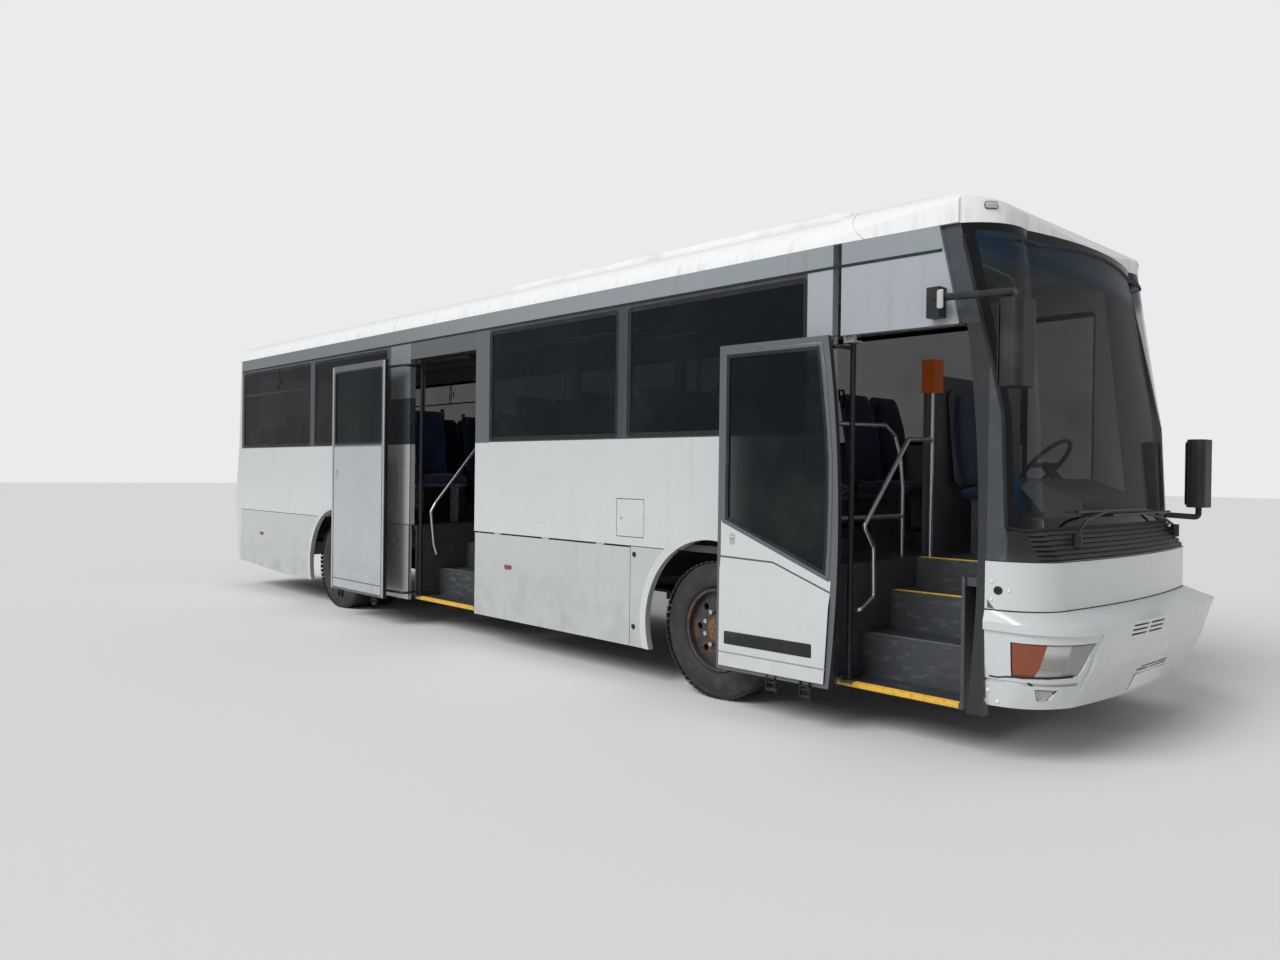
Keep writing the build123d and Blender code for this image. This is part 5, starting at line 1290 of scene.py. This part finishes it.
class BUS_OT_front_trim(bpy.types.Operator):
    """Windscreen rubber, bumper strips, lamp rubbers, studs, the blank plate and the dome's lamps"""

    bl_idname = "bus.front_trim"
    bl_label = "Front trim"

    def execute(self, context):
        self.strips()
        self.corners()
        self.blank_plate()
        self.notches()
        self.dome_lamps()
        return {"FINISHED"}

    def strips(self):
        """Rubbers and gaps that run round the screen, the nose and the lamps."""
        loop = [on_node("windscreen", *spot)[0] for spot in SCREEN_LOOP]
        ribs("screen_rubber", "body", "rubber", 0.010, [[*loop, loop[0]]])
        groove = round_front("bumper", GROOVE_Z, 470, -1)
        groove = [[p for p in groove if side * p.x > GROOVE_START] for side in (-1, 1)]
        ribs("bumper_groove_trim", "body", "rubber", 0.005, groove)
        for name, z, width in NOSE_GAPS:
            ribs(name, "body", "rubber", width, [round_front("front_panel", z, 500)])
        chains = []
        for side in (-1, 1):
            for edge, rear in LAMP_EDGES:
                flat = subdivided(edge, 25)
                chains.append([from_front(("bumper", "lamps"), side * x, z, rear) for x, z in flat])
        ribs("lamp_rubbers", "body", "rubber", 0.0045, chains)

    def corners(self):
        """Studs, the socket and the fog lamps."""
        studs, socket, fogs = Piece(), Piece(), Piece()
        socket.lathe(SOCKET, *on_node("front_panel", *SOCKET_PLACE), 28)
        x, z = FOG_LAMP_PLACE
        ahead = Vector(FOG_LAMP_WAY)
        for side in (-1, 1):
            for node, out, s, high, radius in CORNER_HEADS:
                place, way = on_node(node, side * (out + 60), s, high)
                studs.knob(place, way, 0.007, mm(radius))
            fogs.lathe(FOG_LAMP, from_front(("lamps",), side * x, z), (side * ahead.x, ahead.y, ahead.z), 28)
        studs.done("corner_studs", "body", "white_plastic")
        socket.done("corner_socket", "body", "black_plastic")
        fogs.done("fog_lamps", "body", "clear_lens")

    def notches(self):
        """Dark grey plates at the panel's lower corners, whose colour is painted shade where notches lie."""
        piece = Piece()
        for side in (-1, 1):

            def cheek(s, z, rise):
                return on_node("front_panel", side * 1400, s, z)[0] + Vector((side * mm(rise), 0, 0))

            piece.plate(CORNER_NOTCH, cheek, -1, 2)
        # Painted shade: a flat dark grey plate stands for the notch's shade
        piece.done("corner_notch_shades", "body", "grey_plastic")

    def blank_plate(self):
        """The blank plate on its flush cover, with the slits over it: two grooves drawn as black strips,
        their darkness painted shade.
        """
        x0, x1, z0, z1 = PLATE_COVER
        across = range(x0, x1 + 1, 51)
        cover = [(x, z0) for x in across] + [(x, z1) for x in reversed(across)]
        plates("plate_recess_cover", "body", "silver_paint", [cover], bumper_face, (-9, 0.6))
        blank = rounded_rectangle(*PLATE, 8)
        plates("front_plate", "body", "white_plastic", [blank], bumper_face, (1, 7), bevel=0.001)
        # Painted shade: the black slits stand for the shade inside two grooves over the plate
        slits = []
        for z, x0 in PLATE_SLITS:
            lower = [(x, z) for x in range(x0, 141, 40)]
            slits.append(lower + [(x, z + 7) for x, _ in reversed(lower)])
        plates("plate_slits", "body", "black_plastic", slits, bumper_face, (-2, 1.5))

    def dome_lamps(self):
        """Clear lamps with rims on the dome's corners."""
        rims, lamps = Piece(), Piece()
        (x, s), (less_x, less_s) = DOME_LAMP_PLACE, DOME_LAMP_SLANT
        for side in (-1, 1):

            def dome(along, z, rise):
                place, way = on_node("front_dome", side * (x - less_x * along), s - less_s * along, z)
                return place + way * mm(rise)

            rims.plate(rounded_rectangle(-58, 58, 3050, 3094, 21), dome, -3, 4)
            lamps.plate(rounded_rectangle(-52, 52, 3055, 3089, 16), dome, -2, 13)
        rims.done("dome_lamp_rims", "body", "grey_plastic")
        lamps.done("dome_lamps", "body", "clear_lens", bevel=0.004)


# Mirror columns: side of the bus, front station, foot, head
MIRROR_HEADS = ((-1, 255, 2025, 2465), (1, 240, 1370, 1850))
MIRROR_X = (1328, 1507)
MIRROR_DEEP = 120
# The lamp on the right bracket: stations, heights, corners' radius
BRACKET_LAMP = (776, 812, 2488, 2592, 12)


class BUS_OT_mirror_glasses(bpy.types.Operator):
    """Mirror glasses with rims, and the lamp on the right mirror's bracket"""

    bl_idname = "bus.mirror_glasses"
    bl_label = "Mirror glasses"

    def execute(self, context):
        glass, rim = Piece(), Piece()
        for side, s, z0, z1 in MIRROR_HEADS:

            def rear(x, z, rise):
                return at(side * x, s + MIRROR_DEEP + rise, z)

            outline = rounded_rectangle(*MIRROR_X, z0 + 16, z1 - 16, 24)
            glass.plate(inset(outline, 7), rear, -1, 2)
            rim.border(outline, inset(outline, 8), rear, (-2, 5, 4, -2))
        glass.done("mirror_glass_faces", "body", "mirror_glass")
        rim.done("mirror_rims", "body", "rubber")
        bracket_x = on_node("mirrors", -1500, 800, 2540)[0].x * 1000
        lamp = rounded_rectangle(*BRACKET_LAMP)

        def face(s, z, rise):
            return at(bracket_x - rise, s, z)

        plates("mirror_bracket_lamp", "body", "clear_lens", [lamp], face, (-2, 11), bevel=0.003)
        return {"FINISHED"}


SIDE_MARKER_Z = 729
# Sliding panes: the rail's height, how far before the window's middle they meet, a grip's foot and head
SLIDER_Z = 2510
SLIDER_MEETING = 90
SLIDER_GRIP = (2600, 2680)
# Side lamps: piece, body, side, stations
SIDE_LAMPS = (
    ("side_lamps_left", "body", 1, (4914, 7200, 10300)),
    ("side_lamp_flap", "bay_flap", -1, (4914,)),
    ("side_lamp_rear", "body", -1, (10300,)),
)
# A bay lock's turned outline in metres, along and out, and the locks' heights
BAY_LOCK = (
    (-0.003, 0), (-0.003, 0.020), (0.003, 0.020), (0.004, 0.015),
    (0.001, 0.012), (0.001, 0.008), (0.004, 0.006), (0.004, 0),
)
BAY_LOCK_STATION = 3310
BAY_LOCK_HEIGHTS = (414, 954)
# The filler lock's station and height
FILLER_LOCK = (3460, 1225)


class BUS_OT_side_trim(bpy.types.Operator):
    """Sliding panes' rails, side lamps and locks"""

    bl_idname = "bus.side_trim"
    bl_label = "Side trim"

    def execute(self, context):
        for name, side, windows in (("left", 1, LEFT_WINDOWS[3::2]), ("right", -1, RIGHT_WINDOWS[3:])):
            place = on_side(side)
            piece = Piece()
            for s0, s1, _, z1 in windows:
                middle = (s0 + s1) / 2 - SLIDER_MEETING
                piece.plate(rectangle(s0 + 30, s1 - 30, SLIDER_Z - 9, SLIDER_Z + 9), place, -9, -3)
                for s in (middle, middle + 34):
                    piece.plate(rectangle(s, s + 14, SLIDER_Z, z1 - 30), place, -9, -4)
                piece.plate(rectangle(middle - 60, middle - 44, *SLIDER_GRIP), place, -9, 0)
            piece.done(f"window_slides_{name}", "body", "black_plastic", bevel=0.001)
        low, high = SIDE_MARKER_Z - 18, SIDE_MARKER_Z + 18
        for name, body, side, stations in SIDE_LAMPS:
            outlines = [rounded_rectangle(s - 45, s + 45, low, high, 12) for s in stations]
            plates(name, body, "amber_lens", outlines, on_side(side), (-1, 12), bevel=0.003)
        locks = Piece()
        for z in BAY_LOCK_HEIGHTS:
            locks.lathe(BAY_LOCK, at(-HALF_WIDTH, BAY_LOCK_STATION, z), (-1, 0, 0), 24)
        locks.done("bay_locks", "body", "black_plastic")
        lock = Piece()
        lock.knob(at(-HALF_WIDTH - 0.5, *FILLER_LOCK), (-1, 0, 0), 0.004, 0.013, steps=24)
        lock.done("filler_lock", "filler_flap", "aluminium")
        return {"FINISHED"}


# Doorway columns: name, front station, rear station, head, and the first corner that its rubber has
DOORWAYS = (("front", 745, 1556, 2415, 1), ("mid", 5445, 6610, 2665, 0))
# Step columns: name, finish, first and last station, x of each edge with the tread's height there
STEP_EDGES = (
    ("front_step_edges", "safety_yellow", 738, 1547, ((-1165, 300), (-545, 810), (-215, 1010))),
    ("front_step_strip", "grey_plastic", 738, 1547, ((-875, 560),)),
    ("mid_step_edges", "safety_yellow", 5483, 6572, ((-1180, 300),)),
    ("mid_step_strips", "grey_plastic", 5483, 6572, ((-890, 560), (-560, 810), (-230, 1010))),
)
# A step edge's section from its tread's corner, and where its ribs run: distance in, rise
STEP_SECTION = ((0, 0), (42, 0), (42, 3), (-3, 3), (-3, -26), (0, -26))
STEP_RIBS = (6, 14, 22, 30, 37)


class BUS_OT_doorways(bpy.types.Operator):
    """Rubbers round the doorways and edges on their steps"""

    bl_idname = "bus.doorways"
    bl_label = "Doorways"

    def execute(self, context):
        side = on_side(-1)
        for name, s0, s1, head, first in DOORWAYS:
            corners = ((s0 - 3, 300), (s0 - 3, head + 3), (s1 + 3, head + 3), (s1 + 3, 300))
            edge = [side(s, z, -5) for s, z in corners[first:]]
            ribs(f"{name}_doorway_rubber", "body", "rubber", 0.005, [edge])
        for name, finish_name, s0, s1, edges in STEP_EDGES:
            piece = Piece()
            lines = []
            for x, z in edges:
                piece.prism([at(x + u, s0, z + w) for u, w in STEP_SECTION], (0, mm(s1 - s0), 0))
                lines += [[at(x + u, s, z + 3) for s in (s0 + 4, s1 - 4)] for u in STEP_RIBS]
            piece.done(name, "body", finish_name, bevel=0.001)
            ribs(f"{name}_ribs", "body", finish_name, 0.0014, lines)
        return {"FINISHED"}


# Rear hatch and window: half width, foot, head
HATCH = (800, 600, 1600)
REAR_WINDOW = (980, 1980, 2800)
# Slat columns: x of the start and of the end. Heights of slats and screws are over the hatch's foot.
SLAT_ROWS = ((-640, -30), (30, 640))
SLAT_HEIGHTS = range(80, 361, 28)
SCREW_HEIGHTS = range(60, 901, 210)
# Rounded plates on the hatch, with their corners' radius, and how far each of the two grips stands out
REAR_PLATE = (-262, 262, 1090, 1210, 10)
HATCH_GRIPS = (((-240, 240, 1232, 1262, 14), 34), ((-70, 70, 1385, 1415, 14), 20))
REFLECTOR_X = 960


def on_rear(x, z, rise):
    """A place on the rear wall or on its hatch."""
    half, low, high = HATCH
    node = "engine_hatch" if abs(x) < half and low < z < high else "rear_wall"
    return on_node(node, x, LENGTH + 60, z)[0] + Vector((0, mm(rise), 0))


class BUS_OT_rear_trim(bpy.types.Operator):
    """Rear window rubber, hatch slats, handle, blank plate, reflectors and screws"""

    bl_idname = "bus.rear_trim"
    bl_label = "Rear trim"

    def execute(self, context):
        half, low, high = REAR_WINDOW
        window = rounded_rectangle(-half, half, low, high, 60)
        pair = (inset(window, -16), inset(window, 14))
        borders("rear_window_rubber", "body", "rubber", [pair], on_rear, (-3, 5, 1, -12))
        half, low, _ = HATCH
        slats = []
        for rise in SLAT_HEIGHTS:
            slats += [[on_rear(x, low + rise, 1) for x in range(x0, x1 + 1, 61)] for x0, x1 in SLAT_ROWS]
        ribs("hatch_slats", "rear_hatch", "black_plastic", 0.008, slats)
        blank = rounded_rectangle(*REAR_PLATE)
        plates("rear_plate", "rear_hatch", "white_plastic", [blank], on_rear, (2, 8), bevel=0.001)
        piece = Piece()
        for grip, proud in HATCH_GRIPS:
            piece.plate(rounded_rectangle(*grip), on_rear, 0, proud)
        piece.done("hatch_handle", "rear_hatch", "black_plastic", bevel=0.003)
        outlines = [rounded_rectangle(x - 70, x + 70, 520, 570, 8) for x in (-REFLECTOR_X, REFLECTOR_X)]
        plates("rear_reflectors", "body", "red_lens", outlines, on_rear, (-1, 8), bevel=0.002)
        piece = Piece()
        for side in (-1, 1):
            for rise in SCREW_HEIGHTS:
                place, way = on_node("engine_hatch", side * (half - 24), LENGTH + 60, low + rise)
                piece.knob(place, way, 0.004, 0.009)
        piece.done("hatch_screws", "rear_hatch", "aluminium")
        return {"FINISHED"}


# Light bars: section as distance aside and rise, length in metres, distance from the middle, stations
LIGHT_SECTION = ((-70, 6), (-66, -14), (-40, -26), (40, -26), (66, -14), (70, 6))
LIGHT_LENGTH = 1.36
LIGHT_X = 640
LIGHT_STATIONS = range(2100, 8421, 1580)
VENT_STATIONS = (6600, 8600, 10100)
# Half a vent's width, its corners' radius, and its tiers: drawn in by, foot and head over the roof
VENT_HALF = 330
VENT_CORNER = 60
VENT_TIERS = ((0, -5, 14), (30, -4, 30))


class BUS_OT_ceiling_trim(bpy.types.Operator):
    """Light bars under the ceiling, and roof vents"""

    bl_idname = "bus.ceiling_trim"
    bl_label = "Ceiling trim"

    def execute(self, context):
        lights, caps = Piece(), Piece()
        for x in (-LIGHT_X, LIGHT_X):
            for s in LIGHT_STATIONS:
                low = on_node("ceiling", x, s + 700, 2500)[0].z * 1000
                lights.prism([at(x + u, s, low + w) for u, w in LIGHT_SECTION], (0, LIGHT_LENGTH, 0))
                for end in (s - 12, s + LIGHT_LENGTH * 1000):
                    section = [at(x + u * 1.04, end, low + w * 1.08) for u, w in LIGHT_SECTION]
                    caps.prism(section, (0, 0.012, 0))
        lights.done("light_bars", "body", "white_plastic", bevel=0.002)
        caps.done("light_bar_ends", "body", "grey_plastic")
        vents = Piece()
        for s in VENT_STATIONS:
            top = on_node("roof", 0, s, 3400)[0].z * 1000
            outline = rounded_rectangle(-VENT_HALF, VENT_HALF, s - VENT_HALF, s + VENT_HALF, VENT_CORNER)
            for shrink, low, high in VENT_TIERS:
                vents.plate(inset(outline, shrink), lambda u, v, rise: at(u, v, top + rise), low, high)
        vents.done("roof_vents", "body", "roof_paint", bevel=0.005)
        return {"FINISHED"}


# Seat measures in millimetres, as in the solids: stations of the backs' feet, x, and the leaning of a back
SEAT_BACKS_RIGHT = (2480, 3270, 4060, 4850, 7400, 8180, 8960, 9740)
SEAT_BACKS_LEFT = (2480, 3270, 4060, 4850, 5640, 6430, 7220, 8000, 8780, 9560)
SEAT_X = (320, 1160)
SEAT_LEAN = Matrix.Rotation(-math.atan2(120, 730), 4, "X")
UPRIGHT_LEAN = Matrix.Rotation(-0.1, 4, "X")
BENCH_MIDDLE = LENGTH - 910
BENCH_BACK = LENGTH - 640
BENCH_PLACES = range(-920, 921, 460)
DECK_TOP = 1400
# Driver's seat: x of its middle, front station, rear station, top
DRIVER_SEAT = (560, 1200, 1575, 1490)
# A shell's rings: depth behind the back's foot in metres, share of the outline's size
SHELL_RINGS = ((0.026, 1), (0.038, 1), (0.047, 1 - 0.036), (0.030, 1 - 0.042))
# A grip's points in metres, on the back's own axes
SEAT_GRIP = ((0, 0.03, 0.60), (0, -0.002, 0.66), (0, 0.0, 0.735), (0, 0.04, 0.745), (0, 0.045, 0.66))
FILL_FRAMES = 20
FILL_CAP = 0.007


def cushion_blank(low, high, crown, cuts=13):
    """A box of quads with a crowned top, as a cushion's cover before it is filled."""
    mesh = bmesh.new()
    bmesh.ops.create_cube(mesh, size=2.0)
    bmesh.ops.subdivide_edges(mesh, edges=mesh.edges[:], cuts=cuts, use_grid_fill=True)
    low, high = Vector(low), Vector(high)
    middle, half = (low + high) / 2, (high - low) / 2
    for vert in mesh.verts:
        u, v, w = vert.co
        pull = 1 - 0.06 * (1 - abs(u)) * (abs(v) > 0.99) - 0.06 * (1 - abs(v)) * (abs(u) > 0.99)
        round_edge = 1 - 0.22 * max(0, abs(w) - 0.4) * (max(abs(u), abs(v)) ** 4)
        x = u * pull * round_edge
        y = v * pull * round_edge
        z = w * (1 - 0.35 * max(abs(u), abs(v)) ** 5)
        vert.co = middle + Vector((x * half.x, y * half.y, z * half.z))
        if w > 0.9:
            vert.co.z += crown * (1 - u * u) * (1 - v * v)
    return poured(mesh, "cushion_blank")


def filled(data):
    """Blows a cushion's cover up with cloth simulation and caps how far a point moves."""
    thing = bpy.data.objects.new("filling", data)
    bpy.context.scene.collection.objects.link(thing)
    cloth = thing.modifiers.new("Cloth", "CLOTH")
    cloth.settings.use_pressure = True
    cloth.settings.uniform_pressure_force = 4.0
    cloth.settings.effector_weights.gravity = 0
    cloth.settings.tension_stiffness = 40
    cloth.settings.compression_stiffness = 40
    cloth.settings.bending_stiffness = 2
    for step in range(1, FILL_FRAMES + 1):
        bpy.context.scene.frame_set(step)
    graph = bpy.context.evaluated_depsgraph_get()
    blown = bpy.data.meshes.new_from_object(thing.evaluated_get(graph))
    for before, after in zip(data.vertices, blown.vertices):
        move = after.co - before.co
        if move.length > FILL_CAP:
            after.co = before.co + move.normalized() * FILL_CAP
    bpy.data.objects.remove(thing)
    bpy.context.scene.frame_set(1)
    return blown


def pad(wide, deep, high, crown=0.012):
    """A filled pad in metres, standing on its origin with its middle over it."""
    return filled(cushion_blank((-wide / 2, -deep / 2, 0.008), (wide / 2, deep / 2, high - 0.008), crown))


def soft_piece(name, data, places):
    """One padded piece of copies of a pad, each put at a place."""
    mesh = bmesh.new()
    for matrix in places:
        copy = data.copy()
        copy.transform(matrix)
        mesh.from_mesh(copy)
        bpy.data.meshes.remove(copy)
    thing = finished(name, poured(mesh, name), "body", "seat_fabric", smooth=80)
    return thing


def moved(x, station, z):
    return Matrix.Translation(at(x, station, z))


class BUS_OT_seats(bpy.types.Operator):
    """Filled cushions and backs on shaped shells, the driver's seat and the rear bench"""

    bl_idname = "bus.seats"
    bl_label = "Seats"

    def execute(self, context):
        wide = mm(SEAT_X[1] - SEAT_X[0]) / 2 - 0.008
        seat = pad(wide - 0.02, 0.39, 0.096)
        back = pad(wide - 0.024, 0.045, 0.70, crown=0.0)
        shell = rounded_rectangle(-wide * 500, wide * 500, 6, 716, 60)
        for side, name, stations in ((-1, "right", SEAT_BACKS_RIGHT), (1, "left", SEAT_BACKS_LEFT)):
            spots = [(side * x, s) for s in stations for x in (SEAT_X[0] + 210, SEAT_X[1] - 210)]
            seats = [moved(x, s - 248, FLOOR_TOP + 412) for x, s in spots]
            backs = [moved(x, s - 36, FLOOR_TOP + 512) @ SEAT_LEAN for x, s in spots]
            if side > 0:
                middle, front, rear, top = DRIVER_SEAT
                under = moved(middle, (front + rear) / 2 - 25, top - 90)
                seats.append(under @ Matrix.Diagonal((1.18, 0.92, 0.94, 1)))
                behind = moved(middle, rear - 38, top + 4) @ UPRIGHT_LEAN
                backs.append(behind @ Matrix.Diagonal((1.16, 1.0, 1.0, 1)))
            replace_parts(soft_piece(f"seat_cushions_{name}", seat, seats), "seats")
            soft_piece(f"seat_backs_{name}", back, backs)
            self.shells(name, shell, backs)
            feet = [moved(side * (SEAT_X[0] + 12), s - 36, FLOOR_TOP + 512) @ SEAT_LEAN for s in stations]
            grips = [[foot @ Vector(p) for p in SEAT_GRIP] for foot in feet]
            ribs(f"seat_grips_{name}", "body", "black_plastic", 0.011, grips)
        cushion = pad(0.452, 0.53, 0.118)
        support = pad(0.452, 0.05, 0.61, crown=0.0)
        seats = [moved(x, BENCH_MIDDLE - 28, DECK_TOP + 2) for x in BENCH_PLACES]
        backs = [moved(x, BENCH_BACK - 32, DECK_TOP + 124) @ UPRIGHT_LEAN for x in BENCH_PLACES]
        soft_piece("bench_cushions", cushion, seats)
        soft_piece("bench_backs", support, backs)
        return {"FINISHED"}

    def shells(self, name, outline, backs):
        """Shaped shells behind the backs."""
        piece = Piece()
        for matrix in backs:
            loops = []
            for depth, share in SHELL_RINGS:
                ring = [Vector((mm(u) * share, depth, mm(w - 358) * share + 0.358)) for u, w in outline]
                loops.append([matrix @ place for place in ring])
            piece.rings(loops)
        piece.done(f"seat_shells_{name}", "body", "grey_plastic")


# Stage and camera: the camera's place, its yaw, pitch and roll in degrees, and the way the soft sun shines
CAMERA_PLACE = (-6.104, -7.547, 1.568)
CAMERA_TURN = (43.422, -0.458, 0.728)
KEY_WAY = (0.88, -0.05, -0.72)
KEY_SPREAD = 35
FLOOR_REACH = 90
BACKDROP = 0.85


class BUS_OT_stage(bpy.types.Operator):
    """A pale floor, soft light and the camera at the photograph's viewing angle"""

    bl_idname = "bus.stage"
    bl_label = "Stage"

    def execute(self, context):
        scene = context.scene
        settings = scene.bus_stage
        scene.view_settings.view_transform = "Standard"
        data = bpy.data.meshes.new("studio_floor")
        corners = [(x, y, 0) for x, y in rectangle(-FLOOR_REACH, FLOOR_REACH, -FLOOR_REACH, FLOOR_REACH)]
        data.from_pydata(corners, [], [(0, 1, 2, 3)])
        data.materials.append(Finish("studio_floor", (0.74, 0.74, 0.735), 0.9).material)
        floor = bpy.data.objects.new("studio_floor", data)
        scene.collection.objects.link(floor)
        scene.world = self.studio(settings.fill)
        sun = bpy.data.lights.new("key", "SUN")
        sun.energy = settings.key
        sun.angle = math.radians(KEY_SPREAD)
        key = bpy.data.objects.new("key", sun)
        key.rotation_euler = Vector(KEY_WAY).to_track_quat("-Z", "Y").to_euler()
        scene.collection.objects.link(key)
        view = bpy.data.cameras.new("camera")
        view.lens = settings.lens
        view.sensor_width = 36
        view.sensor_fit = "HORIZONTAL"
        view.clip_end = 300
        camera = bpy.data.objects.new("camera", view)
        scene.collection.objects.link(camera)
        yaw, pitch, roll = [math.radians(a) for a in CAMERA_TURN]
        ahead = Vector((math.cos(pitch) * math.sin(yaw), math.cos(pitch) * math.cos(yaw), math.sin(pitch)))
        right = Vector((math.cos(yaw), -math.sin(yaw), 0))
        up = right.cross(ahead)
        aside = right * math.cos(roll) + up * math.sin(roll)
        rise = up * math.cos(roll) - right * math.sin(roll)
        turn = Matrix((aside, rise, -ahead)).transposed()
        camera.matrix_world = Matrix.Translation(CAMERA_PLACE) @ turn.to_4x4()
        scene.camera = camera
        return {"FINISHED"}

    def studio(self, fill):
        """A world that the camera sees as a pale backdrop and that lights the bus."""
        world = bpy.data.worlds.new("studio")
        world.use_nodes = True
        sky = Board(world.node_tree)
        sky.tree.nodes.clear()
        ray = sky.tree.nodes.new("ShaderNodeLightPath")
        seen = Wire(sky, ray.outputs["Is Camera Ray"]) + Wire(sky, ray.outputs["Is Transmission Ray"])
        strength = sky.node("ShaderNodeMapRange", {}, {"Value": seen, "To Min": fill, "To Max": BACKDROP})
        sockets = {"Color": (0.97, 0.98, 1.0, 1.0), "Strength": strength}
        background = sky.node("ShaderNodeBackground", {}, sockets)
        output = sky.tree.nodes.new("ShaderNodeOutputWorld")
        sky.tree.links.new(background.socket, output.inputs[0])
        return world


OPERATORS = (
    BUS_OT_stage,
    BUS_OT_node_finishes,
    BUS_OT_window_rubbers,
    BUS_OT_gutters,
    BUS_OT_tyres,
    BUS_OT_wheel_nuts,
    BUS_OT_door_trim,
    BUS_OT_doorways,
    BUS_OT_front_trim,
    BUS_OT_mirror_glasses,
    BUS_OT_side_trim,
    BUS_OT_rear_trim,
    BUS_OT_ceiling_trim,
    BUS_OT_seats,
)
GROUPS = (("bus_colours", BusColours), ("bus_trim", BusTrim), ("bus_stage", BusStage))


class BUS_PT_panel(bpy.types.Panel):
    """Lists the bus's settings and pieces"""

    bl_idname = "BUS_PT_panel"
    bl_label = "City bus"
    bl_space_type = "VIEW_3D"
    bl_region_type = "UI"
    bl_category = "City bus"

    def draw(self, context):
        for name, group in GROUPS:
            for setting in group.__annotations__:
                self.layout.prop(getattr(context.scene, name), setting)
        for operator in OPERATORS:
            self.layout.operator(operator.bl_idname)


def register():
    for name, group in GROUPS:
        bpy.utils.register_class(group)
        setattr(bpy.types.Scene, name, bpy.props.PointerProperty(type=group))
    for operator in OPERATORS:
        bpy.utils.register_class(operator)
    bpy.utils.register_class(BUS_PT_panel)


def unregister():
    bpy.utils.unregister_class(BUS_PT_panel)
    for operator in reversed(OPERATORS):
        bpy.utils.unregister_class(operator)
    for name, group in reversed(GROUPS):
        delattr(bpy.types.Scene, name)
        bpy.utils.unregister_class(group)


def main():
    register()
    bpy.ops.bus.stage()
    bpy.ops.bus.node_finishes()
    bpy.ops.bus.window_rubbers()
    bpy.ops.bus.gutters()
    bpy.ops.bus.tyres()
    bpy.ops.bus.wheel_nuts()
    bpy.ops.bus.door_trim()
    bpy.ops.bus.doorways()
    bpy.ops.bus.front_trim()
    bpy.ops.bus.mirror_glasses()
    bpy.ops.bus.side_trim()
    bpy.ops.bus.rear_trim()
    bpy.ops.bus.ceiling_trim()
    bpy.ops.bus.seats()


if __name__ == "__main__":
    main()
